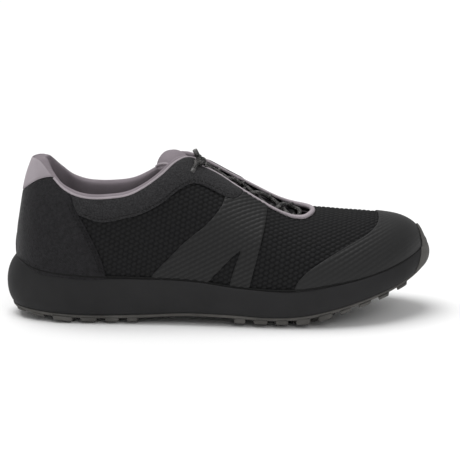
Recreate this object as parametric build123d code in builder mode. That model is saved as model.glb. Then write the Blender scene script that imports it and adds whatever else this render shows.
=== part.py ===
from build123d import *
import math
import os

os.makedirs("parts", exist_ok=True)

# Spikeless golf shoe for a right foot, men's EU 42.5, in millimetres.
# +x runs from the heel to the toe, +y from the outer (lateral) to the inner (medial) side, +z up.
# Outlines give stations, the distance in front of the back of the heel, and y from the heel's
# centre line.  The origin is on the ground in the middle of the shoe's length and width.

LENGTH = 300.0
HEEL_X = -LENGTH / 2
CENTRE_Y = -2.0
REACH = 90.0            # half the depth of a cutting block, more than half the shoe's width
SKY = 160.0             # height above everything

# Layers of the upper, as depths under the outer face of the mesh.
OVERLAY = -0.8
BUMPER = -2.8
MESH = 2.2
BACKING = 3.6
LINING = 4.4
INSIDE = 4.8            # the foot space, clear of the lining
TONGUE_TOP = 5.0
TONGUE_FOAM = 6.0
TONGUE_LINING = 10.4
TONGUE_UNDER = 11.2
PAD_LINING = 0.8        # thickness of the lining over the collar's foam

BOARD = 1.8
INSOLE_GAP = 0.3
INSOLE = 4.5
INSOLE_COVER = 0.8
SHEET = 2.4             # thickness of the outsole's base sheet
LACE_RADIUS = 1.4

# The upper's cross sections: station, lateral y, medial y, bottom z, crown y, crown z.
# Behind the throat the crown is only construction, above the foot opening.
UPPER = [
    (9, -4, 4, 37, 0, 58),
    (11, -13, 13, 33, 0, 70),
    (18, -24, 24, 27, 0, 102),
    (30, -31.5, 31.5, 25, 0, 121),
    (55, -36.5, 36.5, 24, 0, 125),
    (90, -37.5, 35, 23, 1, 122.5),
    (130, -39.5, 32.5, 21, 3, 112.5),
    (165, -44.5, 39, 19, 4, 94.5),
    (200, -49, 49.5, 18, 4, 77.5),
    (230, -46, 51.5, 21, 6.5, 73),
    (258, -35.5, 45.5, 26.5, 9, 70.5),
    (278, -21.5, 36.5, 33, 10, 67.5),
    (290, -7, 27, 38.5, 10.5, 61),
    (296, 5, 17, 44, 11, 51),
]
FOOT = 0.95             # width at the sole, as a share of the widest
BULGE = 1.12
CROWN_FLAT = 0.6        # half the width of the flat that joins a section's two halves
SIDE = 0.52             # height of the side's control point, as a share of the section
SHOULDER = 0.62         # width of the crown's control point, as a share of the widest

# The sole's outline at its widest level, heel, lateral side, toe, medial side.
SOLE = [
    (-0.9, 0), (2.6, -13), (10, -23), (30, -34.5), (60, -38.5), (100, -39.5), (130, -42),
    (160, -46.5), (190, -50.5), (215, -51), (240, -46.5), (260, -38.5), (280, -24),
    (292.4, -10), (299, 2.5), (301, 13), (298.5, 23.5), (291.5, 34), (280, 42), (260, 50.5),
    (240, 54.5), (215, 55), (190, 49.5), (160, 39.5), (130, 34), (100, 35.5), (60, 38.5),
    (30, 34.5), (10, 23), (2.6, 13),
]
SOLE_LEVELS = [(-2, 5.5), (9, 3.0), (18, 0.6), (28, 0.0), (40, 1.0), (54, 3.5)]   # z, inset
SOLE_TOP = [
    (-4, 41.5), (11, 41), (27, 36.5), (56, 33.5), (95, 32.5), (137, 30.5), (161, 27.5),
    (189, 26), (205, 26.5), (228, 29.5), (251, 33), (276, 39.5), (293, 45.5), (304, 49),
]
SOLE_BOTTOM = [
    (-4, 9.5), (25, 7.2), (48, 6), (92, 6.5), (131, 8.5), (161, 8), (183, 7), (206, 8),
    (228, 12), (252, 18), (276, 25), (289, 30), (304, 37),
]
GROUND = [
    (-4, 5.6), (10, 4.2), (25, 2), (45, 0), (95, 0), (200, 0), (212, 0.4), (222, 2.6),
    (235, 7), (248, 11.6), (260, 15.6), (275, 20.2), (289, 25.5), (304, 32.5),
]
HEEL_EDGE = [(18, 60), (8.5, 42), (1.2, 30), (0, 19), (2, 9), (8, -4)]

TOPLINE = [
    (-6, 111), (20, 111), (28, 110), (37, 101), (44, 94), (53, 89), (62, 87), (76, 87), (91, 89.5),
    (101, 94.5), (112, 102), (120, 108.5), (127, 111), (133, 110), (140, 106),
]
THROAT = [
    (136, -10), (150, -9.5), (165, -13), (180, -16.5), (193, -18.8), (203, -19.2), (211, -15.5),
    (216, -5), (213, 4.5), (203, 9), (188, 7.3), (168, 5.3), (150, 4), (136, 3.5),
]
THROAT_CENTRE_Y = -3.0
PIPING = 1.7            # width of the bound edges

HEEL_SEAM = [(49, 95), (53, 80), (60, 68), (66, 56), (71, 44), (75, 28)]
COLLAR_EDGE = [
    (44, 80), (57, 75), (70, 71), (85, 73), (101, 77.5), (113, 84), (124, 92), (133, 95.5),
    (142, 93), (151, 88.5), (158, 85.5), (164, 86), (170, 92), (172, 104),
]
TAB_EDGE = [(4, 84), (14, 88), (20, 93), (28, 98), (35, 100), (42, 100)]
TOE_SEAM = [
    (263, 76), (260, 65), (252, 60), (240, 55), (228, 49.5), (217, 43.5), (208, 37), (203, 31),
    (201, 22),
]
BUMPER_EDGE = [(289, 70), (292, 58), (293, 48), (291, 38), (286, 28), (282, 18)]
SADDLE = [
    (154, 92), (150, 79), (143, 70), (128, 58), (117, 47), (103, 26), (141, 22), (144, 31),
    (161, 51), (166, 50), (157, 22), (170, 22), (174, 38), (178, 53), (183, 72), (185, 92),
]
COUNTER_FRONT = 70.0
PUFF_BACK = 250.0
SINK = 1.5              # how much lower than the sole each body ends, per unit of its depth
PAD_FRONT = 118.0
PAD_EDGE = [(-6, 66), (20, 62), (60, 60), (90, 64), (110, 76), (120, 90)]
# The space inside the collar's pads: height, station of its back, half width.
PAD_LEVELS = [(50, 15, 32), (70, 23, 28.5), (92, 26.5, 25.5), (118, 24, 27.5)]

# The tongue's sections: station, lateral y, medial y.
TONGUE = [
    (112, -10, 11), (115, -13, 14), (128, -16, 17), (150, -19, 19), (180, -21, 22), (203, -21, 19),
]
BINDING_SECTIONS = 2    # the first two sections hold the binding

# The lace: station, y, depth of its centre line under the mesh's outer face.
LACE = [
    (139.5, -4, -0.6), (145, -1, 1.2), (149, 0.6, 2.2), (153, 0.8, 2.4), (160, -4, 3.0),
    (166, -10.4, 2.4), (170, -10.8, 2.4), (178, -5.5, -0.4), (185, 3.7, 2.2), (189, 3.9, 2.4),
    (195, -5, 3.0), (200, -15.9, 2.4), (204.4, -15.6, 2.4), (208, -5, 1.6), (204.4, 5.4, 2.4),
    (200, 5.4, 2.4), (195, -5, -0.4), (189, -14.9, 2.4), (185, -14.2, 2.4), (178, -5.5, 3.1),
    (170, 2.1, 2.4), (166, 1.8, 2.4), (160, -4, -0.4), (153, -6.9, 2.4), (149, -6.6, 2.0),
    (145, -5.6, 0.6),
]
LACE_BEND = 2.6
LATERAL_LOOPS = [(153, -6.8), (168, -10.6), (187, -14.6), (202.2, -15.9)]
MEDIAL_LOOPS = [(151, 0.8), (168, 2.0), (187, 3.8), (202.2, 5.5)]
LOOP_RADIUS = 2.7
LOOP_CORD = 0.8
LOOP_DEPTH = 2.3


def shoe_x(station):
    return station + HEEL_X


def shoe_y(y):
    return y + CENTRE_Y


def blend_rows(table, u):
    """Row u of a table, with a smooth cubic between whole rows."""
    last = len(table) - 1
    k = min(int(u), last - 1)
    f = u - k
    rows = [table[max(k - 1, 0)], table[k], table[k + 1], table[min(k + 2, last)]]
    row = []
    for a, b, c, d in zip(*rows):
        row.append(b + 0.5 * f * (c - a + f * (2 * a - 5 * b + 4 * c - d + f * (3 * (b - c) + d - a))))
    return row


def skin_controls(u, side):
    """Control points of half a cross section, from the sole (0) to the crown (3)."""
    station, lateral, medial, bottom, crown_y, crown_z = blend_rows(UPPER, u)
    middle = (lateral + medial) / 2
    reach = (lateral if side < 0 else medial) - middle
    edge = middle + reach
    rise = crown_z - bottom
    return station, [
        (middle + FOOT * reach, bottom),
        (middle + BULGE * reach, bottom + SIDE * rise),
        (crown_y + SHOULDER * (edge - crown_y), crown_z),
        (crown_y, crown_z),
    ]


def skin_point(u, v, side):
    station, p = skin_controls(u, side)
    w = 1 - v
    weights = (w * w * w, 3 * v * w * w, 3 * v * v * w, v * v * v)
    y = sum(k * q[0] for k, q in zip(weights, p))
    z = sum(k * q[1] for k, q in zip(weights, p))
    return station, y, z


def skin_inward(u, v, side):
    """Unit normal of the skin that points into the shoe."""
    step = 0.002
    last = len(UPPER) - 1
    rear = skin_point(max(u - step, 0), v, side)
    front = skin_point(min(u + step, last), v, side)
    low = skin_point(u, max(v - step, 0), side)
    high = skin_point(u, min(v + step, 1), side)
    ax, ay, az = [f - r for f, r in zip(front, rear)]
    bx, by, bz = [h - l for h, l in zip(high, low)]
    normal = (ay * bz - az * by, az * bx - ax * bz, ax * by - ay * bx)
    size = math.sqrt(sum(n * n for n in normal)) * side
    return [n / size for n in normal]


def inset_point(station, v, side, depth):
    """The point of the skin's parallel surface, at a depth, in the plane of a station."""
    low = 0.0
    high = len(UPPER) - 1.0
    for _ in range(22):
        u = (low + high) / 2
        inward = skin_inward(u, v, side)
        point = [p + depth * n for p, n in zip(skin_point(u, v, side), inward)]
        if point[0] < station:
            low = u
        else:
            high = u
    return point, blend_rows(UPPER, u)[3]


def inset_section(station, side, depth):
    """Bezier control points of half a section of the parallel surface."""
    found = [inset_point(station, v, side, depth) for v in (0, 1 / 3, 2 / 3, 1)]
    a, b, c, d = [(p[1], p[2]) for p, _ in found]
    a = (a[0], found[0][1] - SINK * max(depth, -1.0))
    second = tuple((-5 * a[i] + 18 * b[i] - 9 * c[i] + 2 * d[i]) / 6 for i in (0, 1))
    third = tuple((2 * a[i] - 9 * b[i] + 18 * c[i] - 5 * d[i]) / 6 for i in (0, 1))
    third = (third[0], d[1])
    return [(shoe_y(y), z) for y, z in (a, second, third, d)]


def upper_body(depth):
    """Solid inside the parallel surface at a depth under the skin, closed by a flat bottom."""
    first = UPPER[0][0] + depth
    last = UPPER[-1][0] - depth
    with BuildPart() as body:
        for row in UPPER:
            share = (row[0] - UPPER[0][0]) / (UPPER[-1][0] - UPPER[0][0])
            station = first + share * (last - first)
            lateral = inset_section(station, -1, depth)
            medial = inset_section(station, 1, depth)
            crown_y, crown_z = lateral[3]
            lateral[3] = (crown_y - CROWN_FLAT, crown_z)
            medial[3] = (crown_y + CROWN_FLAT, crown_z)
            with BuildSketch(Plane.YZ.offset(shoe_x(station))):
                with BuildLine():
                    Bezier(*lateral)
                    Line(lateral[3], medial[3])
                    Bezier(*reversed(medial))
                    Line(medial[0], lateral[0])
                make_face()
        loft()
    return body.part


def side_block(curve, corners, low_y=-REACH, high_y=REACH):
    """Block across the shoe whose side view is a smooth curve closed by straight corners."""
    points = [(shoe_x(s), z) for s, z in curve]
    closing = [(shoe_x(s), z) for s, z in corners]
    with BuildPart() as block:
        with BuildSketch(Plane.XZ.offset(-high_y)):
            with BuildLine():
                Spline(*points)
                Polyline(points[-1], *closing, points[0])
            make_face()
        extrude(amount=high_y - low_y)
    return block.part


def above(curve, rise=0.0):
    lifted = [(s, z + rise) for s, z in curve]
    return side_block(lifted, [(lifted[-1][0], SKY), (lifted[0][0], SKY)])


def behind(curve):
    return side_block(curve, [(-20, curve[-1][1]), (-20, curve[0][1])])


def in_front(curve):
    return side_block(curve, [(LENGTH + 20, curve[-1][1]), (LENGTH + 20, curve[0][1])])


def polygon_block(outline, low_y, high_y):
    with BuildPart() as block:
        with BuildSketch(Plane.XZ.offset(-high_y)):
            with BuildLine():
                Polyline(*[(shoe_x(s), z) for s, z in outline], close=True)
            make_face()
        extrude(amount=high_y - low_y)
    return block.part


def plan_block(outline, low_z, high_z):
    """Upright block whose plan is an outline with one smooth curve and a straight back."""
    with BuildPart() as block:
        with BuildSketch(Plane.XY.offset(low_z)):
            with BuildLine():
                Spline(*[(shoe_x(s), shoe_y(y)) for s, y in outline])
                Line((shoe_x(outline[-1][0]), shoe_y(outline[-1][1])),
                     (shoe_x(outline[0][0]), shoe_y(outline[0][1])))
            make_face()
        extrude(amount=high_z - low_z)
    return block.part


def inset_outline(outline, inset):
    """Closed outline moved inwards by an inset, point by point."""
    moved = []
    for k, (s, y) in enumerate(outline):
        before = outline[k - 1]
        after = outline[(k + 1) % len(outline)]
        run = Vector(after[0] - before[0], after[1] - before[1]).normalized()
        moved.append((s - run.Y * inset, y + run.X * inset))
    return moved


def sole_body(extra=0.0):
    """Sole's full outer form, rounded in its height, before its top and bottom are cut."""
    with BuildPart() as body:
        for z, inset in SOLE_LEVELS:
            points = [(shoe_x(s), shoe_y(y)) for s, y in inset_outline(SOLE, inset + extra)]
            with BuildSketch(Plane.XY.offset(z)):
                with BuildLine():
                    BSpline(points, range(len(points) + 1), degree=3, periodic=True)
                make_face()
        loft()
    return body.part


def between(low, high):
    """Block between two side-view curves, from the lower up to the upper."""
    bottom = [(shoe_x(s), z) for s, z in low]
    top = [(shoe_x(s), z) for s, z in reversed(high)]
    with BuildPart() as block:
        with BuildSketch(Plane.XZ.offset(-REACH)):
            with BuildLine():
                Spline(*bottom)
                Line(bottom[-1], top[0])
                Spline(*top)
                Line(top[-1], bottom[0])
            make_face()
        extrude(amount=2 * REACH)
    return block.part


def raised(curve, rise):
    return [(s, z + rise) for s, z in curve]


def floor_curve(rise):
    """The strobel's line along the shoe, raised by a height."""
    start = (-6, UPPER[0][3] + rise + 10)
    end = (304, UPPER[-1][3] + rise + 7)
    return [start] + [(row[0], row[3] + rise) for row in UPPER[1:]] + [end]


def under_skin(station, y, depth):
    """Point a depth under the skin, straight below a plan position on the vamp."""
    low = 0.0
    high = len(UPPER) - 1.0
    for _ in range(32):
        u = (low + high) / 2
        if blend_rows(UPPER, u)[0] < station:
            low = u
        else:
            high = u
    side = -1 if y < blend_rows(UPPER, u)[4] else 1
    near = 0.0
    far = 1.0
    for _ in range(32):
        v = (near + far) / 2
        if abs(skin_point(u, v, side)[1] - blend_rows(UPPER, u)[4]) > abs(y - blend_rows(UPPER, u)[4]):
            near = v
        else:
            far = v
    slope = abs(skin_inward(u, v, side)[2])
    return (shoe_x(station), shoe_y(y), skin_point(u, v, side)[2] - depth / slope)


def finish(piece, name):
    piece.part.label = name
    export_step(piece.part, f"parts/{name}.step")
    print(name, round(piece.part.volume), len(piece.part.solids()), piece.part.is_valid)


# Construction bodies shared by several pieces.
skin = {depth: upper_body(depth) for depth in (BUMPER, OVERLAY, 0.0, MESH, BACKING, LINING, INSIDE)}
sole_form = sole_body()
opening = above(TOPLINE)
rim = above(TOPLINE, -PIPING)
throat = plan_block(THROAT, 50, SKY)
throat_rim = plan_block(inset_outline(THROAT, -PIPING), 50, SKY)
bumper_zone = in_front(BUMPER_EDGE)
over_board = above(floor_curve(BOARD))
heel_zone = behind(HEEL_SEAM)
collar_zone = above(COLLAR_EDGE)
tab_zone = above(TAB_EDGE)
counter_zone = between([(-6, 20), (COUNTER_FRONT, 20)], [(-6, 66), (30, 64), (COUNTER_FRONT, 50)])
puff_zone = in_front([(PUFF_BACK + 6, 80), (PUFF_BACK, 50), (PUFF_BACK + 6, 15)])
pad_zone = above(PAD_EDGE)


# Sole unit: a foam midsole on a thin rubber outsole, with a rubber guard over the toe.
with BuildPart() as midsole:
    add(sole_form)
    add(between(SOLE_BOTTOM, SOLE_TOP), mode=Mode.INTERSECT)
    add(in_front(HEEL_EDGE), mode=Mode.INTERSECT)
    add(skin[0.0], mode=Mode.SUBTRACT)
finish(midsole, "midsole")

# Each lug is a square block: its plan stays inside the sole's outline by a margin.
LUG_PITCH = 14.0
LUG_GAP = 3.4
LUG_MARGIN = 8.5
LUG_ENDS = [(18, 92), (193, 288)]
TOE_SPRING = 205.0      # in front of this the lugs lean back with the rising toe


def along(curve, station):
    """Height of a side-view curve at a station, by straight runs."""
    for (s0, z0), (s1, z1) in zip(curve, curve[1:]):
        if s0 <= station <= s1:
            return z0 + (z1 - z0) * (station - s0) / (s1 - s0)
    return curve[-1][1]


def sole_limits(station):
    """Lateral and medial edges of the sole at a station."""
    half = len(SOLE) // 2
    lateral = SOLE[:half + 1]
    medial = [SOLE[0]] + SOLE[:half - 1:-1]
    return along(lateral, station), along(medial, station)


def lug_places():
    places = []
    for first, last in LUG_ENDS:
        rows = int((last - first) / LUG_PITCH) + 1
        for row in range(rows):
            station = first + row * LUG_PITCH
            reach = LUG_PITCH / 2
            low = max(sole_limits(s)[0] for s in (station - reach, station + reach)) + LUG_MARGIN
            high = min(sole_limits(s)[1] for s in (station - reach, station + reach)) - LUG_MARGIN
            count = int((high - low) / LUG_PITCH) + 1
            for k in range(count):
                spread = (high - low) / max(count - 1, 1)
                places.append((station, low + k * spread))
    return places


side = LUG_PITCH - LUG_GAP
with BuildPart() as outsole:
    add(sole_form)
    add(between(raised(SOLE_BOTTOM, -SHEET), SOLE_BOTTOM), mode=Mode.INTERSECT)
    add(in_front(HEEL_EDGE), mode=Mode.INTERSECT)
    for station, y in lug_places():
        foot = along(GROUND, station)
        top = along(SOLE_BOTTOM, station) - SHEET / 2
        tilt = 0.0
        if station > TOE_SPRING:
            rise = along(GROUND, station + side / 2) - along(GROUND, station - side / 2)
            tilt = -math.degrees(math.atan2(rise, side))
        with Locations(Location((shoe_x(station), shoe_y(y), foot), (0, tilt, 0))):
            Box(side, side, top - foot, align=(Align.CENTER, Align.CENTER, Align.MIN))
finish(outsole, "outsole")

with BuildPart() as toe_bumper:
    add(skin[BUMPER])
    add(skin[OVERLAY], mode=Mode.SUBTRACT)
    add(bumper_zone, mode=Mode.INTERSECT)
    add(above(raised(SOLE_TOP, 0)), mode=Mode.INTERSECT)
finish(toe_bumper, "toe_bumper")

# Bottom of the upper: the stitched board, and the insole that lifts out over it.
with BuildPart() as strobel_board:
    add(skin[MESH])
    add(skin[0.0], mode=Mode.INTERSECT)
    add(over_board, mode=Mode.SUBTRACT)
finish(strobel_board, "strobel_board")

insole_low = BOARD + INSOLE_GAP
with BuildPart() as insole:
    add(skin[INSIDE])
    add(between(floor_curve(insole_low), floor_curve(insole_low + INSOLE)), mode=Mode.INTERSECT)
finish(insole, "insole")

with BuildPart() as insole_cover:
    add(skin[INSIDE])
    add(between(floor_curve(insole_low + INSOLE), floor_curve(insole_low + INSOLE + INSOLE_COVER)),
        mode=Mode.INTERSECT)
finish(insole_cover, "insole_cover")


def upper_layer(outer, inner, keep=(), cut=()):
    """Layer of the upper between two depths, kept inside some blocks and cut by others."""
    with BuildPart() as layer:
        add(skin[outer])
        add(skin[inner], mode=Mode.SUBTRACT)
        for block in keep:
            add(block, mode=Mode.INTERSECT)
        for block in cut:
            add(block, mode=Mode.SUBTRACT)
    return layer.part


# Upper, from the outside in.
with BuildPart() as vamp_mesh:
    add(upper_layer(0.0, MESH, cut=[rim, throat_rim]))
finish(vamp_mesh, "vamp_mesh")

with BuildPart() as vamp_backing:
    add(upper_layer(MESH, BACKING, [over_board], [rim, throat_rim, counter_zone, puff_zone]))
finish(vamp_backing, "vamp_backing")

with BuildPart() as heel_counter:
    add(upper_layer(MESH, BACKING, [over_board, counter_zone]))
finish(heel_counter, "heel_counter")

with BuildPart() as toe_puff:
    add(upper_layer(MESH, BACKING, [over_board, puff_zone]))
finish(toe_puff, "toe_puff")

with BuildPart() as vamp_lining:
    add(upper_layer(BACKING, LINING, [over_board], [rim, throat_rim, pad_zone]))
finish(vamp_lining, "vamp_lining")


def pad_space(shrink=0.0):
    """Space inside the collar's pads: a half round heel with straight sides."""
    with BuildPart() as space:
        for z, back, half in PAD_LEVELS:
            width = half - shrink
            with BuildSketch(Plane.XY.offset(z)):
                with BuildLine():
                    rear = shoe_x(back + half)
                    front = shoe_x(150)
                    low = (rear, shoe_y(-width))
                    high = (rear, shoe_y(width))
                    Polyline(high, (front, high[1]), (front, low[1]), low)
                    ThreePointArc(low, (rear - width, shoe_y(0)), high)
                make_face()
        loft()
    return space.part


pad_keep = [pad_zone, behind([(PAD_FRONT, SKY), (PAD_FRONT, 10)])]
with BuildPart() as collar_foam:
    add(skin[BACKING])
    add(pad_space(), mode=Mode.SUBTRACT)
    for block in pad_keep:
        add(block, mode=Mode.INTERSECT)
    add(rim, mode=Mode.SUBTRACT)
finish(collar_foam, "collar_foam")

with BuildPart() as collar_lining:
    add(pad_space())
    add(pad_space(PAD_LINING), mode=Mode.SUBTRACT)
    for block in pad_keep:
        add(block, mode=Mode.INTERSECT)
    add(rim, mode=Mode.SUBTRACT)
    add(skin[BACKING], mode=Mode.INTERSECT)
finish(collar_lining, "collar_lining")

with BuildPart() as heel_panel:
    add(upper_layer(OVERLAY, 0.0, [heel_zone], [tab_zone, rim]))
    add(midsole.part, mode=Mode.SUBTRACT)
finish(heel_panel, "heel_panel")

with BuildPart() as heel_tab:
    add(upper_layer(OVERLAY, 0.0, [tab_zone, behind([(44, SKY), (44, 40)])], [rim]))
finish(heel_tab, "heel_tab")


def collar_panel(low_y, high_y):
    side = Box(LENGTH, high_y - low_y, SKY, align=(Align.CENTER, Align.MIN, Align.MIN),
               mode=Mode.PRIVATE)
    cuts = [heel_zone, tab_zone, rim, throat_rim]
    return upper_layer(OVERLAY, 0.0, [collar_zone, Pos(0, low_y, 0) * side], cuts)


with BuildPart() as collar_panel_lateral:
    add(collar_panel(-REACH, shoe_y(THROAT_CENTRE_Y)))
finish(collar_panel_lateral, "collar_panel_lateral")

with BuildPart() as collar_panel_medial:
    add(collar_panel(shoe_y(THROAT_CENTRE_Y), REACH))
finish(collar_panel_medial, "collar_panel_medial")

with BuildPart() as toe_cap:
    add(upper_layer(OVERLAY, 0.0, [in_front(TOE_SEAM)], [throat_rim]))
    add(midsole.part, mode=Mode.SUBTRACT)
finish(toe_cap, "toe_cap")


def saddle(low_y, high_y):
    layer = upper_layer(OVERLAY, 0.0, [polygon_block(SADDLE, low_y, high_y)], [collar_zone, throat_rim])
    with BuildPart() as flap:
        add(layer)
        add(midsole.part, mode=Mode.SUBTRACT)
    return flap.part


with BuildPart() as saddle_lateral:
    add(saddle(-REACH, shoe_y(THROAT_CENTRE_Y)))
finish(saddle_lateral, "saddle_lateral")

with BuildPart() as saddle_medial:
    add(saddle(shoe_y(THROAT_CENTRE_Y), REACH))
finish(saddle_medial, "saddle_medial")

# Bound edges of the foot opening and of the throat.
with BuildPart() as throat_piping:
    add(upper_layer(OVERLAY, LINING, [throat_rim], [throat, opening]))
finish(throat_piping, "throat_piping")

with BuildPart() as collar_piping:
    add(upper_layer(OVERLAY, BACKING, [rim], [opening, throat_rim]))
finish(collar_piping, "collar_piping")

# Tongue, hinged where it is sewn to the vamp.
def tongue_layer(outer, inner, sections):
    """Arched strip between two depths under the skin, lofted along the tongue."""
    with BuildPart() as strip:
        for station, lateral, medial in sections:
            spread = [lateral + (medial - lateral) * k / 6 for k in range(7)]
            top = [under_skin(station, y, outer)[1:] for y in spread]
            low = [under_skin(station, y, inner)[1:] for y in reversed(spread)]
            with BuildSketch(Plane.YZ.offset(shoe_x(station))):
                with BuildLine():
                    Spline(*top)
                    Line(top[-1], low[0])
                    Spline(*low)
                    Line(low[-1], top[0])
                make_face()
        loft()
    return strip.part


flap = TONGUE[BINDING_SECTIONS - 1:]
with BuildPart() as tongue_cover:
    add(tongue_layer(TONGUE_TOP, TONGUE_FOAM, flap))
finish(tongue_cover, "tongue_cover")

with BuildPart() as tongue_foam:
    add(tongue_layer(TONGUE_FOAM, TONGUE_LINING, flap))
finish(tongue_foam, "tongue_foam")

with BuildPart() as tongue_lining:
    add(tongue_layer(TONGUE_LINING, TONGUE_UNDER, flap))
finish(tongue_lining, "tongue_lining")

with BuildPart() as tongue_binding:
    add(tongue_layer(TONGUE_TOP, TONGUE_UNDER, TONGUE[:BINDING_SECTIONS]))
finish(tongue_binding, "tongue_binding")

# Elastic lace, threaded through loops on the throat's edges and knotted at the top.
lace_route = [under_skin(*row) for row in LACE]


def bend_radii(route, wanted):
    """The largest radius at each corner, up to the one wanted, that its two runs allow."""
    radii = []
    for a, b, c in zip(route, route[1:], route[2:]):
        before = Vector(*b) - Vector(*a)
        after = Vector(*c) - Vector(*b)
        half = math.radians(before.get_angle(after)) / 2
        radii.append(min(wanted, 0.45 * min(before.length, after.length) / math.tan(half)))
    return radii


def cord(route, radius, bend):
    """Round cord along straight runs joined by tangent arcs."""
    with BuildPart() as piece:
        with BuildLine() as path:
            FilletPolyline(*route, radius=bend_radii(route, bend))
        direction = Vector(*route[1]) - Vector(*route[0])
        with BuildSketch(Plane(origin=route[0], z_dir=direction)):
            Circle(radius)
        sweep(path=path.wires()[0])
    return piece.part


with BuildPart() as lace:
    add(cord(lace_route, LACE_RADIUS, LACE_BEND))
finish(lace, "lace")


def lace_loops(places):
    """Cord rings on one edge of the throat, each cut off flush with the edge."""
    with BuildPart() as loops:
        for station, y in places:
            centre = under_skin(station, y, LOOP_DEPTH)
            with Locations(Plane(origin=centre, z_dir=(1, 0, 0)).location):
                Torus(LOOP_RADIUS, LOOP_CORD)
        add(throat, mode=Mode.INTERSECT)
        add(skin[LINING], mode=Mode.SUBTRACT)
    return loops.part


with BuildPart() as lace_loops_lateral:
    add(lace_loops(LATERAL_LOOPS))
finish(lace_loops_lateral, "lace_loops_lateral")

with BuildPart() as lace_loops_medial:
    add(lace_loops(MEDIAL_LOOPS))
finish(lace_loops_medial, "lace_loops_medial")

# The knot sits on the collar's front edge, with two short ends and their heat-shrunk tips.
KNOT = (139.5, -4, -5.5)
KNOT_RADIUS = 4.4
END_UP = [(0, 0, 0), (-1.2, -0.5, 5.2), (-2.8, -1.0, 7.0)]
END_DOWN = [(0, 0, 0), (-2.5, -5.5, 0.5), (-5.0, -9.5, -2.5)]
END_BEND = 3.0
TIP_LENGTH = 4.0
TIP_RADIUS = 1.7

knot_centre = Vector(*under_skin(*KNOT))
with BuildPart() as lace_knot:
    with Locations(knot_centre):
        Sphere(KNOT_RADIUS)
    add(lace.part, mode=Mode.SUBTRACT)
finish(lace_knot, "lace_knot")


def end_route(steps):
    return [tuple(knot_centre + Vector(*step)) for step in steps]


with BuildPart() as lace_ends:
    add(cord(end_route(END_UP), LACE_RADIUS, END_BEND))
    add(cord(end_route(END_DOWN), LACE_RADIUS, END_BEND))
    add(lace_knot.part, mode=Mode.SUBTRACT)
    with Locations(knot_centre):
        Sphere(KNOT_RADIUS, mode=Mode.SUBTRACT)
finish(lace_ends, "lace_ends")

with BuildPart() as lace_tips:
    for steps in (END_UP, END_DOWN):
        before, last = [Vector(*point) for point in end_route(steps)[-2:]]
        direction = (last - before).normalized()
        with BuildSketch(Plane(origin=last, z_dir=direction)):
            Circle(TIP_RADIUS)
        extrude(amount=TIP_LENGTH)
finish(lace_tips, "lace_tips")
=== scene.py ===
import math

import bmesh
import bpy
import numpy as np
from mathutils import Matrix, Vector
from mathutils.kdtree import KDTree


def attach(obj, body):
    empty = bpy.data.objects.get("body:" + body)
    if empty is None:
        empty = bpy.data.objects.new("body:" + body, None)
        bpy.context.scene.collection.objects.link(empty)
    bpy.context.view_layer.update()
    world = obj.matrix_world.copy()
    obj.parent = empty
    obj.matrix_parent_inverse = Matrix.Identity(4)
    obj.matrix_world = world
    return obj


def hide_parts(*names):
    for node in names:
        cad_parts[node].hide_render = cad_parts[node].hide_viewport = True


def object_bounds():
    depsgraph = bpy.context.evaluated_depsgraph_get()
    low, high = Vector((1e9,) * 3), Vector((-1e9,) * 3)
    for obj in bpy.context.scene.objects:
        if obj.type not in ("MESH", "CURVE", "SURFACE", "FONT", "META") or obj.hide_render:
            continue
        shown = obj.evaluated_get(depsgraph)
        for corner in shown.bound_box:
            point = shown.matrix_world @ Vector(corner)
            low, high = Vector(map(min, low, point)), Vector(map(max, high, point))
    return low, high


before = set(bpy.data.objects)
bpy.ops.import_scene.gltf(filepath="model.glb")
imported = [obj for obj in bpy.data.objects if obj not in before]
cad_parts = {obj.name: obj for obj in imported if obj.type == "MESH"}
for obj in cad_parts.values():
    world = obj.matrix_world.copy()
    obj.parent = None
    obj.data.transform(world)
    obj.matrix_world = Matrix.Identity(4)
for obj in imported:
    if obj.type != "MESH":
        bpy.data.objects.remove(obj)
cad_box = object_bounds()

# Golf shoe, right foot.  The tables below are the shoe's own design, in millimetres: stations are
# distances in front of the back of the heel, y counts from the heel's centre line towards the inner
# side, z counts up from the ground.  MM turns them into the frame's metres.
MM = 0.001
HEEL_X = cad_box[0][0] / MM
CENTRE_Y = -2.0

# The upper's cross sections: station, lateral y, medial y, bottom z, crown y, crown z.
UPPER = np.array([
    (9, -4, 4, 37, 0, 58),
    (11, -13, 13, 33, 0, 70),
    (18, -24, 24, 27, 0, 102),
    (30, -31.5, 31.5, 25, 0, 121),
    (55, -36.5, 36.5, 24, 0, 125),
    (90, -37.5, 35, 23, 1, 122.5),
    (130, -39.5, 32.5, 21, 3, 112.5),
    (165, -44.5, 39, 19, 4, 94.5),
    (200, -49, 49.5, 18, 4, 77.5),
    (230, -46, 51.5, 21, 6.5, 73),
    (258, -35.5, 45.5, 26.5, 9, 70.5),
    (278, -21.5, 36.5, 33, 10, 67.5),
    (290, -7, 27, 38.5, 10.5, 61),
    (296, 5, 17, 44, 11, 51),
], dtype=float)
# Shape of a section between those points: how wide it stands at its foot, how far its side bulges,
# how high that is, and how wide the shoulder below the crown is.
FOOT, BULGE, SIDE, SHOULDER = 0.95, 1.12, 0.52, 0.62
LAST_ROW = len(UPPER) - 1.0
CAP_BULGE = 1.4
HEEL_CAP = [-1.0, -0.8, -0.6, -0.4, -0.2]
TOE_CAP = [LAST_ROW + share for share in (0.2, 0.4, 0.6, 0.8, 1.0)]

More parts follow.
